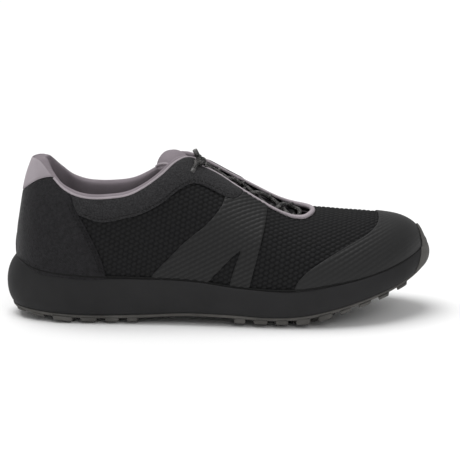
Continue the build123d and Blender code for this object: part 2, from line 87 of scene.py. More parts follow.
SOLE = np.array([
    (-0.9, 0), (2.6, -13), (10, -23), (30, -34.5), (60, -38.5), (100, -39.5), (130, -42),
    (160, -46.5), (190, -50.5), (215, -51), (240, -46.5), (260, -38.5), (280, -24),
    (292.4, -10), (299, 2.5), (301, 13), (298.5, 23.5), (291.5, 34), (280, 42), (260, 50.5),
    (240, 54.5), (215, 55), (190, 49.5), (160, 39.5), (130, 34), (100, 35.5), (60, 38.5),
    (30, 34.5), (10, 23), (2.6, 13),
])
SOLE_TOP = [
    (-4, 41.5), (11, 41), (27, 36.5), (56, 33.5), (95, 32.5), (137, 30.5), (161, 27.5),
    (189, 26), (205, 26.5), (228, 29.5), (251, 33), (276, 39.5), (293, 45.5), (304, 49),
]
SOLE_BOTTOM = [
    (-4, 9.5), (25, 7.2), (48, 6), (92, 6.5), (131, 8.5), (161, 8), (183, 7), (206, 8),
    (228, 12), (252, 18), (276, 25), (289, 30), (304, 37),
]
GROUND = [
    (-4, 5.6), (10, 4.2), (25, 2), (45, 0), (95, 0), (200, 0), (212, 0.4), (222, 2.6),
    (235, 7), (248, 11.6), (260, 15.6), (275, 20.2), (289, 25.5), (304, 32.5),
]

TOPLINE = [
    (-6, 111), (20, 111), (28, 110), (37, 101), (44, 94), (53, 89), (62, 87), (76, 87), (91, 89.5),
    (101, 94.5), (112, 102), (120, 108.5), (127, 111), (133, 110), (140, 106),
]
HEEL_SEAM = [(28, 75), (44, 71), (56, 66), (68, 60), (80, 53), (95, 49)]       # z, station
COLLAR_EDGE = [
    (44, 80), (57, 75), (70, 71), (85, 73), (101, 77.5), (113, 84), (124, 92), (133, 95.5),
    (142, 93), (151, 88.5), (158, 85.5), (164, 86), (168, 90), (172, 104),
]
TAB_EDGE = [(4, 84), (14, 88), (20, 93), (28, 98), (35, 100), (42, 100)]
TOE_SEAM = [
    (22, 201), (31, 203), (37, 208), (43.5, 217), (49.5, 228), (55, 240), (60, 252), (65, 260),
    (70, 263), (78, 263),
]                                                                           # z, station
BUMPER_EDGE = [(18, 282), (28, 286), (38, 291), (48, 293), (56, 292), (63, 290), (70, 291)]
SADDLE_LEFT = [(22, 101), (34, 105), (47, 117), (58, 128), (70, 143), (84, 154), (92, 156)]
SADDLE_RIGHT = [(22, 170), (38, 174), (53, 178), (68, 182), (78, 184), (92, 186)]
NOTCH = [(20, 141), (31, 144), (40, 152), (51, 163), (52.5, 165)]
NOTCH_FRONT = [(20, 157), (31, 158.5), (40, 161), (51, 165), (52.5, 165.5)]
THROAT = [
    (128, -10), (136, -10), (150, -9.5), (165, -13), (180, -16.5), (193, -18.8), (203, -19.2),
    (211, -15.5), (216, -5), (213, 4.5), (203, 9), (188, 7.3), (168, 5.3), (150, 4), (136, 3.5),
    (128, 3.5),
]

# The lace's route: station, y, depth under the mesh's outer face.  It is the CAD model's route apart
# from the points at both ends, which lead to the knot's place here.
LACE = [
    (138.5, -7.5, -1.4), (145, -1.5, 1.0), (149, 0.6, 2.2), (153, 0.8, 2.4), (160, -4, 3.0),
    (166, -10.4, 2.4), (170, -10.8, 2.4), (178, -5.5, -0.4), (185, 3.7, 2.2), (189, 3.9, 2.4),
    (195, -5, 3.0), (200, -15.9, 2.4), (204.4, -15.6, 2.4), (208, -5, 1.6), (204.4, 5.4, 2.4),
    (200, 5.4, 2.4), (195, -5, -0.4), (189, -14.9, 2.4), (185, -14.2, 2.4), (178, -5.5, 3.1),
    (170, 2.1, 2.4), (166, 1.8, 2.4), (160, -4, -0.4), (153, -6.9, 2.4), (149, -6.6, 2.0),
    (145, -7.4, 0.6), (140.5, -9.6, -1.2),
]
LOOPS = {
    "lateral": [(153, -6.8), (168, -10.6), (187, -14.6), (202.2, -15.9)],
    "medial": [(151, 0.8), (168, 2.0), (187, 3.8), (202.2, 5.5)],
}
KNOT = (137.5, -10.2)
LACE_RADIUS = 1.4
END_RADIUS = 1.6         # the free ends are slack, so they are thicker
END_UP = [(0, 0, 0), (-1.4, -0.4, 3.3), (-2.4, -0.9, 5.4)]
END_DOWN = [(0, 0, 0), (-2.2, -4.0, -1.6), (-4.2, -7.2, -5.2)]


# ---------------------------------------------------------------- curves and the upper's surface

def smooth(points):
    """Smooth function through (x, value) points."""
    x = np.array([p[0] for p in points], dtype=float)
    v = np.array([p[1] for p in points], dtype=float)
    slope = np.gradient(v, x)

    def curve(at):
        at = np.clip(np.asarray(at, dtype=float), x[0], x[-1])
        k = np.clip(np.searchsorted(x, at, side="right") - 1, 0, len(x) - 2)
        h = x[k + 1] - x[k]
        t = (at - x[k]) / h
        a = (1 + 2 * t) * (1 - t) ** 2
        b = t * (1 - t) ** 2
        c = t * t * (3 - 2 * t)
        d = t * t * (t - 1)
        return a * v[k] + b * h * slope[k] + c * v[k + 1] + d * h * slope[k + 1]
    return curve


def catmull_rom(a, b, c, d, t):
    """Value at share t of the way from b to c, with a and d as their neighbours."""
    return b + 0.5 * t * (c - a + t * (2 * a - 5 * b + 4 * c - d + t * (3 * (b - c) + d - a)))


def running_length(line):
    return np.concatenate([[0], np.cumsum(np.linalg.norm(np.diff(line, axis=0), axis=1))])


def points_at(at, run, line):
    """Values of a line at given running lengths."""
    return np.stack([np.interp(at, run, column) for column in line.T], axis=1)


def resample(points, step):
    """Points at even steps along a smooth curve through the given points."""
    points = np.asarray(points, dtype=float)
    padded = np.vstack([2 * points[0] - points[1], points, 2 * points[-1] - points[-2]])
    fine = []
    for i in range(len(points) - 1):
        for t in np.linspace(0, 1, 24, endpoint=False):
            fine.append(catmull_rom(*padded[i:i + 4], t))
    fine = np.array(fine + [points[-1]])
    run = running_length(fine)
    at = np.linspace(0, run[-1], max(int(run[-1] / step), 3))
    return points_at(at, run, fine)


THROAT_LINE = resample([(s, y, 0) for s, y in THROAT], 1.5)[:, :2]

top_line = smooth(TOPLINE)
sole_top = smooth(SOLE_TOP)
sole_bottom = smooth(SOLE_BOTTOM)
ground = smooth(GROUND)


def rows_at(u):
    """Section values at fractional rows, by a Catmull-Rom cubic."""
    u = np.clip(np.asarray(u, dtype=float), 0, LAST_ROW)
    k = np.minimum(u.astype(int), int(LAST_ROW) - 1)
    before = UPPER[np.maximum(k - 1, 0)]
    after = UPPER[np.minimum(k + 2, int(LAST_ROW))]
    return catmull_rom(before, UPPER[k], UPPER[k + 1], after, (u - k)[..., None])


def skin(u, w):
    """Outer face of the mesh in the shoe's own millimetres.  w is -1 at the lateral sole, 0 on the
    crown and 1 at the medial sole.  Rows past either end close the heel and the toe."""
    u = np.asarray(u, dtype=float)
    heel = np.clip(-u, 0, 1)
    toe = np.clip(u - LAST_ROW, 0, 1)
    close = 0.999 * (heel + toe)
    row = rows_at(u)
    station, lateral, medial, bottom, crown_y, crown_z = np.moveaxis(row, -1, 0)
    w = np.asarray(w, dtype=float) + 0 * station
    v = 1 - np.abs(w)
    middle = (lateral + medial) / 2
    reach = np.where(w < 0, lateral, medial) - middle
    rise = crown_z - bottom
    k = 1 - v
    weights = (k ** 3, 3 * v * k * k, 3 * v * v * k, v ** 3)
    ys = (middle + FOOT * reach, middle + BULGE * reach,
          crown_y + SHOULDER * (middle + reach - crown_y), crown_y)
    zs = (bottom, bottom + SIDE * rise, crown_z, crown_z)
    y = sum(a * b for a, b in zip(weights, ys))
    z = sum(a * b for a, b in zip(weights, zs))
    half_way = (bottom + crown_z) / 2
    y = middle + (y - middle) * (1 - close)
    z = half_way + (z - half_way) * (1 - close)
    station = station + CAP_BULGE * (1 - (1 - close) ** 2) * np.where(toe > 0, 1, -1)
    return np.stack([station + 0 * y, y, z], axis=-1)


def outward(u, w, surface=None):
    """Unit normals of a surface, which is the skin unless another is given."""
    surface = surface or skin
    step = 0.004
    rear = surface(u - step, w)
    front = surface(u + step, w)
    low = surface(u, w - step)
    high = surface(u, w + step)
    normal = np.cross(front - rear, high - low)
    normal /= np.maximum(np.linalg.norm(normal, axis=-1, keepdims=True), 1e-9)
    return normal


def upper_point(u, w, height, surface=None):
    """Points at a height over the surface, along its normals."""
    surface = surface or skin
    return surface(u, w) + outward(u, w, surface) * np.asarray(height)[..., None]


def row_of(station):
    """Fractional row of a station."""
    fine = np.linspace(0, LAST_ROW, 1301)
    return np.interp(station, rows_at(fine)[:, 0], fine)


def side_at(station, z, side):
    """w of the skin point at a station and height on one side."""
    u = row_of(station)
    near = np.zeros(np.shape(station))
    far = np.ones(np.shape(station))
    for _ in range(26):
        middle = (near + far) / 2
        higher = skin(u, side * middle)[..., 2] > z
        near = np.where(higher, middle, near)
        far = np.where(higher, far, middle)
    return u, side * near


def plan_at(station, y):
    """u, w of the skin point under a plan position near the crown."""
    station = np.asarray(station, dtype=float)
    u = row_of(station)
    crown = rows_at(u)[..., 4]
    side = np.where(y < crown, -1.0, 1.0)
    near = np.zeros(np.shape(station))
    far = np.ones(np.shape(station))
    for _ in range(26):
        middle = (near + far) / 2
        inside = np.abs(skin(u, side * middle)[..., 1] - crown) < np.abs(y - crown)
        near = np.where(inside, middle, near)
        far = np.where(inside, far, middle)
    return u, side * near


def crown_point(station, y):
    """Skin point under a plan position, and how level the skin is there."""
    u, w = plan_at(np.array([float(station)]), np.array([float(y)]))
    return skin(u, w)[0], abs(outward(u, w)[0, 2])


def blend(table, a, b):
    """Values between a table's entries at fractional rows a and columns b."""
    i = a.astype(int)
    k = b.astype(int)
    fa = a - i
    fb = b - k
    if table.ndim > 2:
        fa = fa[..., None]
        fb = fb[..., None]
    return ((1 - fa) * (1 - fb) * table[i, k] + fa * (1 - fb) * table[i + 1, k]
            + (1 - fa) * fb * table[i, k + 1] + fa * fb * table[i + 1, k + 1])


def edge_drop(border):
    """Share of the full drop of a rounded edge: 1 on the border and 0 where the edge ends."""
    return 1 - np.sqrt(np.clip(1 - (1 - border) ** 2, 0, 1))


def to_world(points):
    """The shoe's millimetres to the frame's metres."""
    points = np.asarray(points, dtype=float)
    return (points + np.array([HEEL_X, CENTRE_Y, 0.0])) * MM


# ---------------------------------------------------------------- meshes

def make_mesh(name, points, faces, material):
    """Smooth-shaded piece, with its faces turned outwards if it is closed."""
    mesh = bpy.data.meshes.new(name)
    mesh.from_pydata([tuple(p) for p in to_world(points)], [], [tuple(f) for f in faces])
    mesh.validate()
    shape = bmesh.new()
    shape.from_mesh(mesh)
    if all(len(edge.link_faces) == 2 for edge in shape.edges):
        bmesh.ops.recalc_face_normals(shape, faces=shape.faces)
        shape.to_mesh(mesh)
    shape.free()
    mesh.polygons.foreach_set("use_smooth", [True] * len(mesh.polygons))
    mesh.materials.append(material)
    mesh.update()
    piece = bpy.data.objects.new(name, mesh)
    bpy.context.collection.objects.link(piece)
    return piece


def weld(piece, distance):
    piece.modifiers.new("weld", "WELD").merge_threshold = distance


def thicken(piece, thickness):
    solid = piece.modifiers.new("thickness", "SOLIDIFY")
    solid.thickness = thickness * MM
    solid.offset = -1


def subdivide(piece):
    modifier = piece.modifiers.new("smooth", "SUBSURF")
    modifier.levels = modifier.render_levels = 1


def grid_faces(rows, columns, closed_rows=False, closed_columns=False):
    faces = []
    for i in range(rows if closed_rows else rows - 1):
        j = (i + 1) % rows
        for k in range(columns if closed_columns else columns - 1):
            m = (k + 1) % columns
            faces.append((i * columns + k, i * columns + m, j * columns + m, j * columns + k))
    return faces


def closed_pad(name, top, bottom, material):
    """Pad between an upper and a lower grid of points, closed round its edge."""
    n, m = len(top), len(top[0])
    under = n * m
    vertices = np.vstack([np.array(top).reshape(-1, 3), np.array(bottom).reshape(-1, 3)])
    faces = grid_faces(n, m)
    faces += [tuple(i + under for i in f[::-1]) for f in grid_faces(n, m)]
    for i in range(n - 1):
        for k in (0, m - 1):
            quad = (i * m + k, (i + 1) * m + k, (i + 1) * m + k + under, i * m + k + under)
            faces.append(quad if k else quad[::-1])
    for k in range(m - 1):
        for i in (0, n - 1):
            quad = (i * m + k, i * m + k + 1, i * m + k + 1 + under, i * m + k + under)
            faces.append(quad[::-1] if i else quad)
    return make_mesh(name, vertices, faces, material)


class Patch:
    """A piece of the skin: vertices in (u, w) and polygons, cut by signed fields."""

    def __init__(self, u, w, surface=None):
        self.surface = surface or skin
        grid_u, grid_w = np.meshgrid(u, w, indexing="ij")
        self.u = grid_u.ravel()
        self.w = grid_w.ravel()
        self.faces = [face[::-1] for face in grid_faces(len(u), len(w))]

    def keep(self, field):
        """Keeps the part where the field is below zero, cutting faces on its zero line."""
        value = field(self.u, self.w, self.surface(self.u, self.w))
        inside = value < 0
        u = list(self.u)
        w = list(self.w)
        made = {}
        faces = []
        for face in self.faces:
            flags = [inside[i] for i in face]
            if all(flags):
                faces.append(face)
                continue
            if not any(flags):
                continue
            cut = []
            for a, b in zip(face, face[1:] + face[:1]):
                if inside[a]:
                    cut.append(a)
                if inside[a] != inside[b]:
                    key = (min(a, b), max(a, b))
                    if key not in made:
                        t = value[key[0]] / (value[key[0]] - value[key[1]])
                        made[key] = len(u)
                        u.append(self.u[key[0]] + t * (self.u[key[1]] - self.u[key[0]]))
                        w.append(self.w[key[0]] + t * (self.w[key[1]] - self.w[key[0]]))
                    cut.append(made[key])
            if len(cut) > 2:
                faces.append(tuple(cut))
        used = sorted({i for face in faces for i in face})
        number = {old: new for new, old in enumerate(used)}
        self.u = np.array(u)[used]
        self.w = np.array(w)[used]
        self.faces = [tuple(number[i] for i in face) for face in faces]
        return self

    def edge_distance(self, reach):
        """Distance of every vertex to the patch's border, up to a reach."""
        count = {}
        for face in self.faces:
            for a, b in zip(face, face[1:] + face[:1]):
                key = (min(a, b), max(a, b))
                count[key] = count.get(key, 0) + 1
        border = sorted({i for key, times in count.items() if times == 1 for i in key})
        points = self.surface(self.u, self.w)
        tree = KDTree(len(border))
        for i in border:
            tree.insert(points[i], i)
        tree.balance()
        return np.array([min(reach, tree.find(p)[2]) for p in points])

    def build(self, name, height, material, thickness=0.0, tone=None):
        """Mesh at a height over the surface.  tone is stored for the material to read; the knit and film
        materials turn it into painted shade and a painted highlight.
        """
        points = upper_point(self.u, self.w, height + 0 * self.u, self.surface)
        piece = make_mesh(name, points, self.faces, material)
        if tone is not None:
            level = piece.data.attributes.new("relief", "FLOAT", "POINT")
            level.data.foreach_set("value", tone)
        weld(piece, 0.00005)
        if thickness:
            thicken(piece, thickness)
        return piece


def station_rows(step, first=0.0, last=LAST_ROW):
    """Rows spread evenly along the skin, with more of them round the heel and toe."""
    low = max(first, 0.0)
    high = min(last, LAST_ROW)
    fine = np.linspace(low, high, 4001)
    row = rows_at(fine)
    length = np.hypot(np.diff(row[:, 0]), 0.7 * np.diff(row[:, 1]))
    total = np.concatenate([[0], np.cumsum(length)])
    count = int(total[-1] / step) + 1
    rows = np.interp(np.linspace(0, total[-1], count), total, fine)
    return np.concatenate([HEEL_CAP if first < 0 else [], rows, TOE_CAP if last > LAST_ROW else []])


def girth_columns(step):
    """Columns spread evenly over the widest section."""
    fine = np.linspace(-1, 1, 2001)
    total = running_length(skin(np.full(2001, row_of(185.0)), fine))
    count = int(total[-1] / step) + 1
    return np.interp(np.linspace(0, total[-1], count), total, fine)


GIRTH_ROWS = 260
HALF_GIRTH = 80          # columns from the crown to either sole edge


def girth_table():
    u = np.linspace(0, LAST_ROW, GIRTH_ROWS + 1)
    w = np.linspace(-1, 1, 2 * HALF_GIRTH + 1)
    points = skin(u[:, None], w[None, :])
    run = np.linalg.norm(np.diff(points, axis=1), axis=2)
    total = np.concatenate([np.zeros((len(u), 1)), np.cumsum(run, axis=1)], axis=1)
    return total - total[:, [HALF_GIRTH]]


GIRTH = girth_table()


def girth(u, w):
    """Signed distance from the crown, measured round the section."""
    a = np.clip(u / LAST_ROW * GIRTH_ROWS, 0, GIRTH_ROWS - 0.001)
    b = np.clip((w + 1) * HALF_GIRTH, 0, 2 * HALF_GIRTH - 0.001)
    return blend(GIRTH, a, b)


# ---------------------------------------------------------------- fields that bound the panels

def below_topline(u, w, p):
    raised = np.where(p[..., 1] > 0, 1.2, 0.0) * (p[..., 0] > 44)
    behind = p[..., 2] - top_line(p[..., 0]) - raised
    return np.where(p[..., 0] < 141, behind, -5.0)


def throat_edge(p):
    """Signed distance to the throat's edge in plan, negative inside the slot."""
    out = np.full(p.shape[:-1], 20.0)
    near = (p[..., 0] > 134) & (p[..., 0] < 222) & (p[..., 2] > 60) & (np.abs(p[..., 1] + 5) < 22)
    q = p[near][:, :2]
    a = THROAT_LINE
    b = np.roll(a, -1, axis=0)
    run = b - a
    best = np.full(len(q), 1e9)
    crossings = np.zeros(len(q), dtype=int)
    for start, step in zip(a, run):
        t = np.clip(((q - start) @ step) / max(step @ step, 1e-9), 0, 1)
        gap = np.linalg.norm(q - start - t[:, None] * step, axis=1)
        best = np.minimum(best, gap)
        if step[1]:
            rise = (q[:, 1] - start[1]) / step[1]
            crossings += (rise >= 0) & (rise < 1) & (q[:, 0] < start[0] + rise * step[0])
    out[near] = np.where(crossings % 2, -best, best)
    return out


def outside_throat(u, w, p):
    return -throat_edge(p)


def field(curve, by_height=False, sign=1):
    """Field of a panel edge: behind or below the edge is negative when sign is 1."""
    edge = smooth(curve)

    def value(u, w, p):
        if by_height:
            return sign * (p[..., 0] - edge(p[..., 2]))
        return sign * (p[..., 2] - edge(p[..., 0]))
    return value


def above_sole(u, w, p):
    return sole_top(p[..., 0]) - 2.5 - p[..., 2]


# ---------------------------------------------------------------- materials

def material(name, colour, rough, build=None, **inputs):
    m = bpy.data.materials.new(name)
    m.use_nodes = True
    shader = m.node_tree.nodes["Principled BSDF"]
    shader.inputs["Base Color"].default_value = (*colour, 1)
    shader.inputs["Roughness"].default_value = rough
    for key, value in inputs.items():
        shader.inputs[key.replace("_", " ")].default_value = value
    if build:
        build(m.node_tree, shader)
    return m


def coords(tree, scale=(1, 1, 1), turn=(0, 0, 0)):
    place = tree.nodes.new("ShaderNodeTexCoord")
    mapping = tree.nodes.new("ShaderNodeMapping")
    mapping.inputs["Scale"].default_value = scale
    mapping.inputs["Rotation"].default_value = turn
    tree.links.new(place.outputs["Object"], mapping.inputs["Vector"])
    return mapping.outputs["Vector"]


def noise(tree, vector, scale, detail=3.0, rough=0.5):
    node = tree.nodes.new("ShaderNodeTexNoise")
    node.inputs["Scale"].default_value = scale
    node.inputs["Detail"].default_value = detail
    node.inputs["Roughness"].default_value = rough
    tree.links.new(vector, node.inputs["Vector"])
    return node.outputs["Fac"]


def ramp(tree, factor, stops):
    node = tree.nodes.new("ShaderNodeValToRGB")
    while len(node.color_ramp.elements) < len(stops):
        node.color_ramp.elements.new(0.5)
    for element, (place, colour) in zip(node.color_ramp.elements, stops):
        element.position = place
        element.color = (*colour, 1)
    tree.links.new(factor, node.inputs["Fac"])
    return node.outputs["Color"]


def bump(tree, shader, factor, distance, strength=1.0, under=None):
    node = tree.nodes.new("ShaderNodeBump")
    node.inputs["Distance"].default_value = distance
    node.inputs["Strength"].default_value = strength
    tree.links.new(factor, node.inputs["Height"])
    if under:
        tree.links.new(under, node.inputs["Normal"])
    tree.links.new(node.outputs["Normal"], shader.inputs["Normal"])
    return node.outputs["Normal"]


def shades(colour, low, high, top=0.65):
    return [(0.35, tuple(c * low for c in colour)), (top, tuple(c * high for c in colour))]


def combine(tree, operation, first, second=None, third=None, factor=None):
    """Maths on node outputs.  factor is a plain number that takes the second's place."""
    node = tree.nodes.new("ShaderNodeMath")
    node.operation = operation
    if factor is not None:
        node.inputs[1].default_value = factor
    for source, target in zip((first, second, third), node.inputs):
        if source is not None:
            tree.links.new(source, target)
    return node.outputs[0]


def threads(tree, scale, distortion, detail, turn):
    """One set of parallel threads, turned about the object's axes."""
    wave = tree.nodes.new("ShaderNodeTexWave")
    wave.inputs["Scale"].default_value = scale
    wave.inputs["Distortion"].default_value = distortion
    wave.inputs["Detail"].default_value = detail
    tree.links.new(coords(tree, turn=turn), wave.inputs["Vector"])
    return wave.outputs["Fac"]


def mottled(colour, scale, low, high, grain_scale, grain, rough_span=None, fine=None):
    """Colour that drifts between two shades, a fine grain in the surface, and uneven roughness."""
    def build(tree, shader):
        vector = coords(tree)
        drift = noise(tree, vector, scale, 4.0)
        tree.links.new(ramp(tree, drift, shades(colour, low, high)), shader.inputs["Base Color"])
        if rough_span:
            stops = [(place, (level,) * 3) for place, level in zip((0.3, 0.7), rough_span)]
            level = ramp(tree, noise(tree, vector, scale * 3), stops)
            tree.links.new(level, shader.inputs["Roughness"])
        normal = bump(tree, shader, noise(tree, vector, grain_scale, 6.0, 0.6), grain)
        if fine:
            bump(tree, shader, noise(tree, vector, fine[0], 2.0), fine[1], under=normal)
    return build


THREAD_TURN = (0.5, 0.3, 0.6)


def woven(colour, low, high, thread, depth, painted_glint=None):
    """Two crossing sets of fine threads, with painted shade between them; the optional light colour is a
    painted glint on their tops.
    """
    def build(tree, shader):
        warp = threads(tree, thread, 0.6, 1.0, THREAD_TURN)
        weft = threads(tree, thread, 0.6, 1.0, (-0.4, 0.5, -0.9))
        height = combine(tree, "MULTIPLY", warp, weft)
        drift = noise(tree, coords(tree), 350.0 if painted_glint else 60.0, 3.0)
        tone = combine(tree, "MULTIPLY_ADD", height, third=drift, factor=0.5)
        stops = shades(colour, low, high, 0.78)
        # The light colour at the top of the ramp is a painted glint where the threads stand highest.
        if painted_glint:
            stops.append((0.86, painted_glint))
        tree.links.new(ramp(tree, tone, stops), shader.inputs["Base Color"])
        bump(tree, shader, height, depth)
    return build


def leather(colour):
    """Small raised cells with a finer grain on them."""
    def build(tree, shader):
        vector = coords(tree)
        cells = tree.nodes.new("ShaderNodeTexVoronoi")
        cells.feature = "DISTANCE_TO_EDGE"
        cells.inputs["Scale"].default_value = 900.0
        tree.links.new(vector, cells.inputs["Vector"])
        drift = noise(tree, vector, 420.0, 6.0, 0.7)
        tree.links.new(ramp(tree, drift, shades(colour, 0.6, 1.45)), shader.inputs["Base Color"])
        normal = bump(tree, shader, cells.outputs["Distance"], 0.0009, 1.0)
        bump(tree, shader, noise(tree, vector, 2600.0, 3.0), 0.00012, under=normal)
    return build


# MESH_COLOUR and FILM_COLOUR are the knit's and film's own colours and also the painted shade between cells
# and ribs; the colour after each is a painted highlight for the tops of the cells and ribs.
MESH_COLOUR = (0.0062, 0.0062, 0.0066)
MESH_PAINTED_HIGHLIGHT = (0.0155, 0.0155, 0.0162)
FILM_COLOUR = (0.0090, 0.0090, 0.0092)
FILM_PAINTED_HIGHLIGHT = (0.0225, 0.0225, 0.0228)
HEEL_COLOUR = (0.0140, 0.0134, 0.0150)
COLLAR_COLOUR = (0.0250, 0.0245, 0.0258)
TAB_COLOUR = (0.315, 0.283, 0.305)
LINING_COLOUR = (0.265, 0.232, 0.254)
PIPING_COLOUR = (0.420, 0.375, 0.403)
EVA_COLOUR = (0.0200, 0.0198, 0.0205)
RUBBER_COLOUR = (0.092, 0.089, 0.084)
LACE_COLOUR = (0.010, 0.010, 0.010)
TONGUE_COLOUR = (0.0125, 0.0120, 0.0130)
THREAD_COLOUR = (0.006, 0.006, 0.006)
TIP_COLOUR = (0.045, 0.044, 0.043)
BOARD_COLOUR = (0.5, 0.48, 0.44)
FOAM_COLOUR = (0.02, 0.02, 0.02)
INSOLE_COLOUR = (0.035, 0.031, 0.034)


def painted_relief_shade(low, high, thread, depth):
    """Knit over raised cells, with painted shade between them and a painted highlight on their tops, and a
    fine thread.
    """
    def build(tree, shader):
        relief = tree.nodes.new("ShaderNodeAttribute")
        relief.attribute_name = "relief"
        drift = noise(tree, coords(tree), 260.0, 3.0)
        mixed = combine(tree, "MULTIPLY_ADD", drift, third=relief.outputs["Fac"], factor=0.25)
        # The height lifts the colour from low to high: painted shade in the gaps and a painted highlight on
        # the tops.
        tree.links.new(ramp(tree, mixed, [(0.05, low), (0.97, high)]), shader.inputs["Base Color"])
        bump(tree, shader, threads(tree, thread, 1.0, 2.0, THREAD_TURN), depth)
    return build


mats = {
    "mesh": material("mesh_knit", MESH_COLOUR, 0.62, painted_relief_shade(MESH_COLOUR, MESH_PAINTED_HIGHLIGHT, 900.0, 0.00008),
                     Specular_IOR_Level=0.12),
    "film": material("overlay_film", FILM_COLOUR, 0.45, painted_relief_shade(FILM_COLOUR, FILM_PAINTED_HIGHLIGHT, 1500.0, 0.00002),
                     Specular_IOR_Level=0.22),
    "heel": material("heel_leather", HEEL_COLOUR, 0.5, leather(HEEL_COLOUR), Specular_IOR_Level=0.16),
    "collar": material("collar_microfibre", COLLAR_COLOUR, 0.8,
                       mottled(COLLAR_COLOUR, 1100.0, 0.62, 1.5, 2400.0, 0.00018, None, (700.0, 0.0003)),
                       Sheen_Weight=0.04, Sheen_Roughness=0.5, Specular_IOR_Level=0.12),
    "tab": material("heel_tab_microfibre", TAB_COLOUR, 0.75,
                    mottled(TAB_COLOUR, 50.0, 0.92, 1.08, 2200.0, 0.0001), Specular_IOR_Level=0.2),
    "lining": material("collar_lining", LINING_COLOUR, 0.9,
                       woven(LINING_COLOUR, 0.86, 1.06, 1500.0, 0.0001), Specular_IOR_Level=0.15),
    "piping": material("edge_binding", PIPING_COLOUR, 0.7,
                       woven(PIPING_COLOUR, 0.84, 1.05, 1300.0, 0.0001), Specular_IOR_Level=0.2),
    "eva": material("midsole_foam", EVA_COLOUR, 0.62,
                    mottled(EVA_COLOUR, 30.0, 0.93, 1.08, 1500.0, 0.00006, (0.58, 0.7), (250.0, 0.0001)),
                    Specular_IOR_Level=0.16),
    "rubber": material("outsole_rubber", RUBBER_COLOUR, 0.7,
                       mottled(RUBBER_COLOUR, 60.0, 0.75, 1.1, 1200.0, 0.0001, (0.62, 0.8)),
                       Specular_IOR_Level=0.15),
    # The light grey is a painted glint on the lace's thread tops.
    "lace": material("lace_braid", LACE_COLOUR, 0.45,
                     woven(LACE_COLOUR, 0.6, 1.5, 1100.0, 0.0002, (0.42, 0.40, 0.39)),
                     Specular_IOR_Level=0.35),
    "tip": material("lace_tip", TIP_COLOUR, 0.4,
                    mottled(TIP_COLOUR, 300.0, 0.3, 2.6, 900.0, 0.00008)),
    "tongue": material("tongue_knit", TONGUE_COLOUR, 0.85,
                       woven(TONGUE_COLOUR, 0.7, 1.3, 1200.0, 0.0001), Specular_IOR_Level=0.1),
    "board": material("board_nonwoven", BOARD_COLOUR, 0.9,
                      mottled(BOARD_COLOUR, 80.0, 0.85, 1.1, 1500.0, 0.0001)),
    "foam": material("backing_foam", FOAM_COLOUR, 0.95,
                     mottled(FOAM_COLOUR, 80.0, 0.85, 1.15, 2500.0, 0.0002)),
    "insole": material("insole_knit", INSOLE_COLOUR, 0.9,
                       woven(INSOLE_COLOUR, 0.8, 1.15, 1200.0, 0.0001)),
    "thread": material("stitch_thread", THREAD_COLOUR, 0.6,
                       mottled(THREAD_COLOUR, 300.0, 0.8, 1.2, 3000.0, 0.00005),
                       Specular_IOR_Level=0.15),
}


def place(piece, body, slot, *replaced):
    """Sets a piece's body and hides the CAD nodes that it replaces; slot is not used."""
    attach(piece, body)
    if replaced:
        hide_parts(*replaced)
    return piece


# ---------------------------------------------------------------- relief of the mesh

ROW_TILT = math.radians(27)
ROW_PITCH = 2.95
CELL_PITCH = 4.0
CELL_WIDTH, CELL_LENGTH = 0.86, 0.98         # shares of the pitches that a cell fills


def rows_and_cells(u, w):
    """Pattern coordinates on the cloth, which is laid on from the outer side over to the inner one:
    across the rows, which rise towards the toe, and along them."""
    s = rows_at(u)[..., 0]
    g = girth(u, w) - girth(u, -1 + 0 * w) + rows_at(u)[..., 3]
    across = g * math.cos(ROW_TILT) - s * math.sin(ROW_TILT)
    along = s * math.cos(ROW_TILT) + g * math.sin(ROW_TILT)
    return across, along


def cell_relief(u, w):
    """Raised lens-shaped cells, 0 in the gaps and 1 on top."""
    across, along = rows_and_cells(u, w)
    row = np.floor(across / ROW_PITCH)
    a = 2 * (across / ROW_PITCH - row) - 1
    c = along / CELL_PITCH + 0.5 * (row % 2)
    b = 2 * (c - np.floor(c)) - 1
    lens = 1 - (a / CELL_WIDTH) ** 2 - np.abs(b / CELL_LENGTH) ** 2.4
    return np.clip(lens, 0, 1) ** 0.55


def rib_relief(u, w):
    """The same rows as they show through a film: ridges that swell at every cell."""
    across, along = rows_and_cells(u, w)
    row = across / ROW_PITCH
    ridge = 0.5 - 0.5 * np.cos(2 * math.pi * row)
    shift = np.round(row - 0.5) % 2
    swell = 0.5 - 0.5 * np.cos(2 * math.pi * (along / CELL_PITCH + 0.5 * shift))
    return ridge * (0.62 + 0.38 * swell)


# ---------------------------------------------------------------- the upper's outer layers

def mesh_upper():
    patch = Patch(station_rows(0.68, 2.4, 2 * LAST_ROW), girth_columns(0.68))
    patch.keep(below_topline)
    patch.keep(outside_throat)
    patch.keep(above_sole)
    patch.keep(lambda u, w, p: field(HEEL_SEAM, True, -1)(u, w, p) - 3.0)
    cells = cell_relief(patch.u, patch.w)
    # The cells' height also goes to the knit material, which paints shade in the gaps and a highlight on the
    # tops.
    piece = patch.build("vamp_mesh_cells", 0.75 * cells - 0.7, mats["mesh"], tone=cells)
    return place(piece, "shoe", "mesh", "vamp_mesh")


DOME_REACH = 8.0         # how far in from its border a padded panel goes on rising


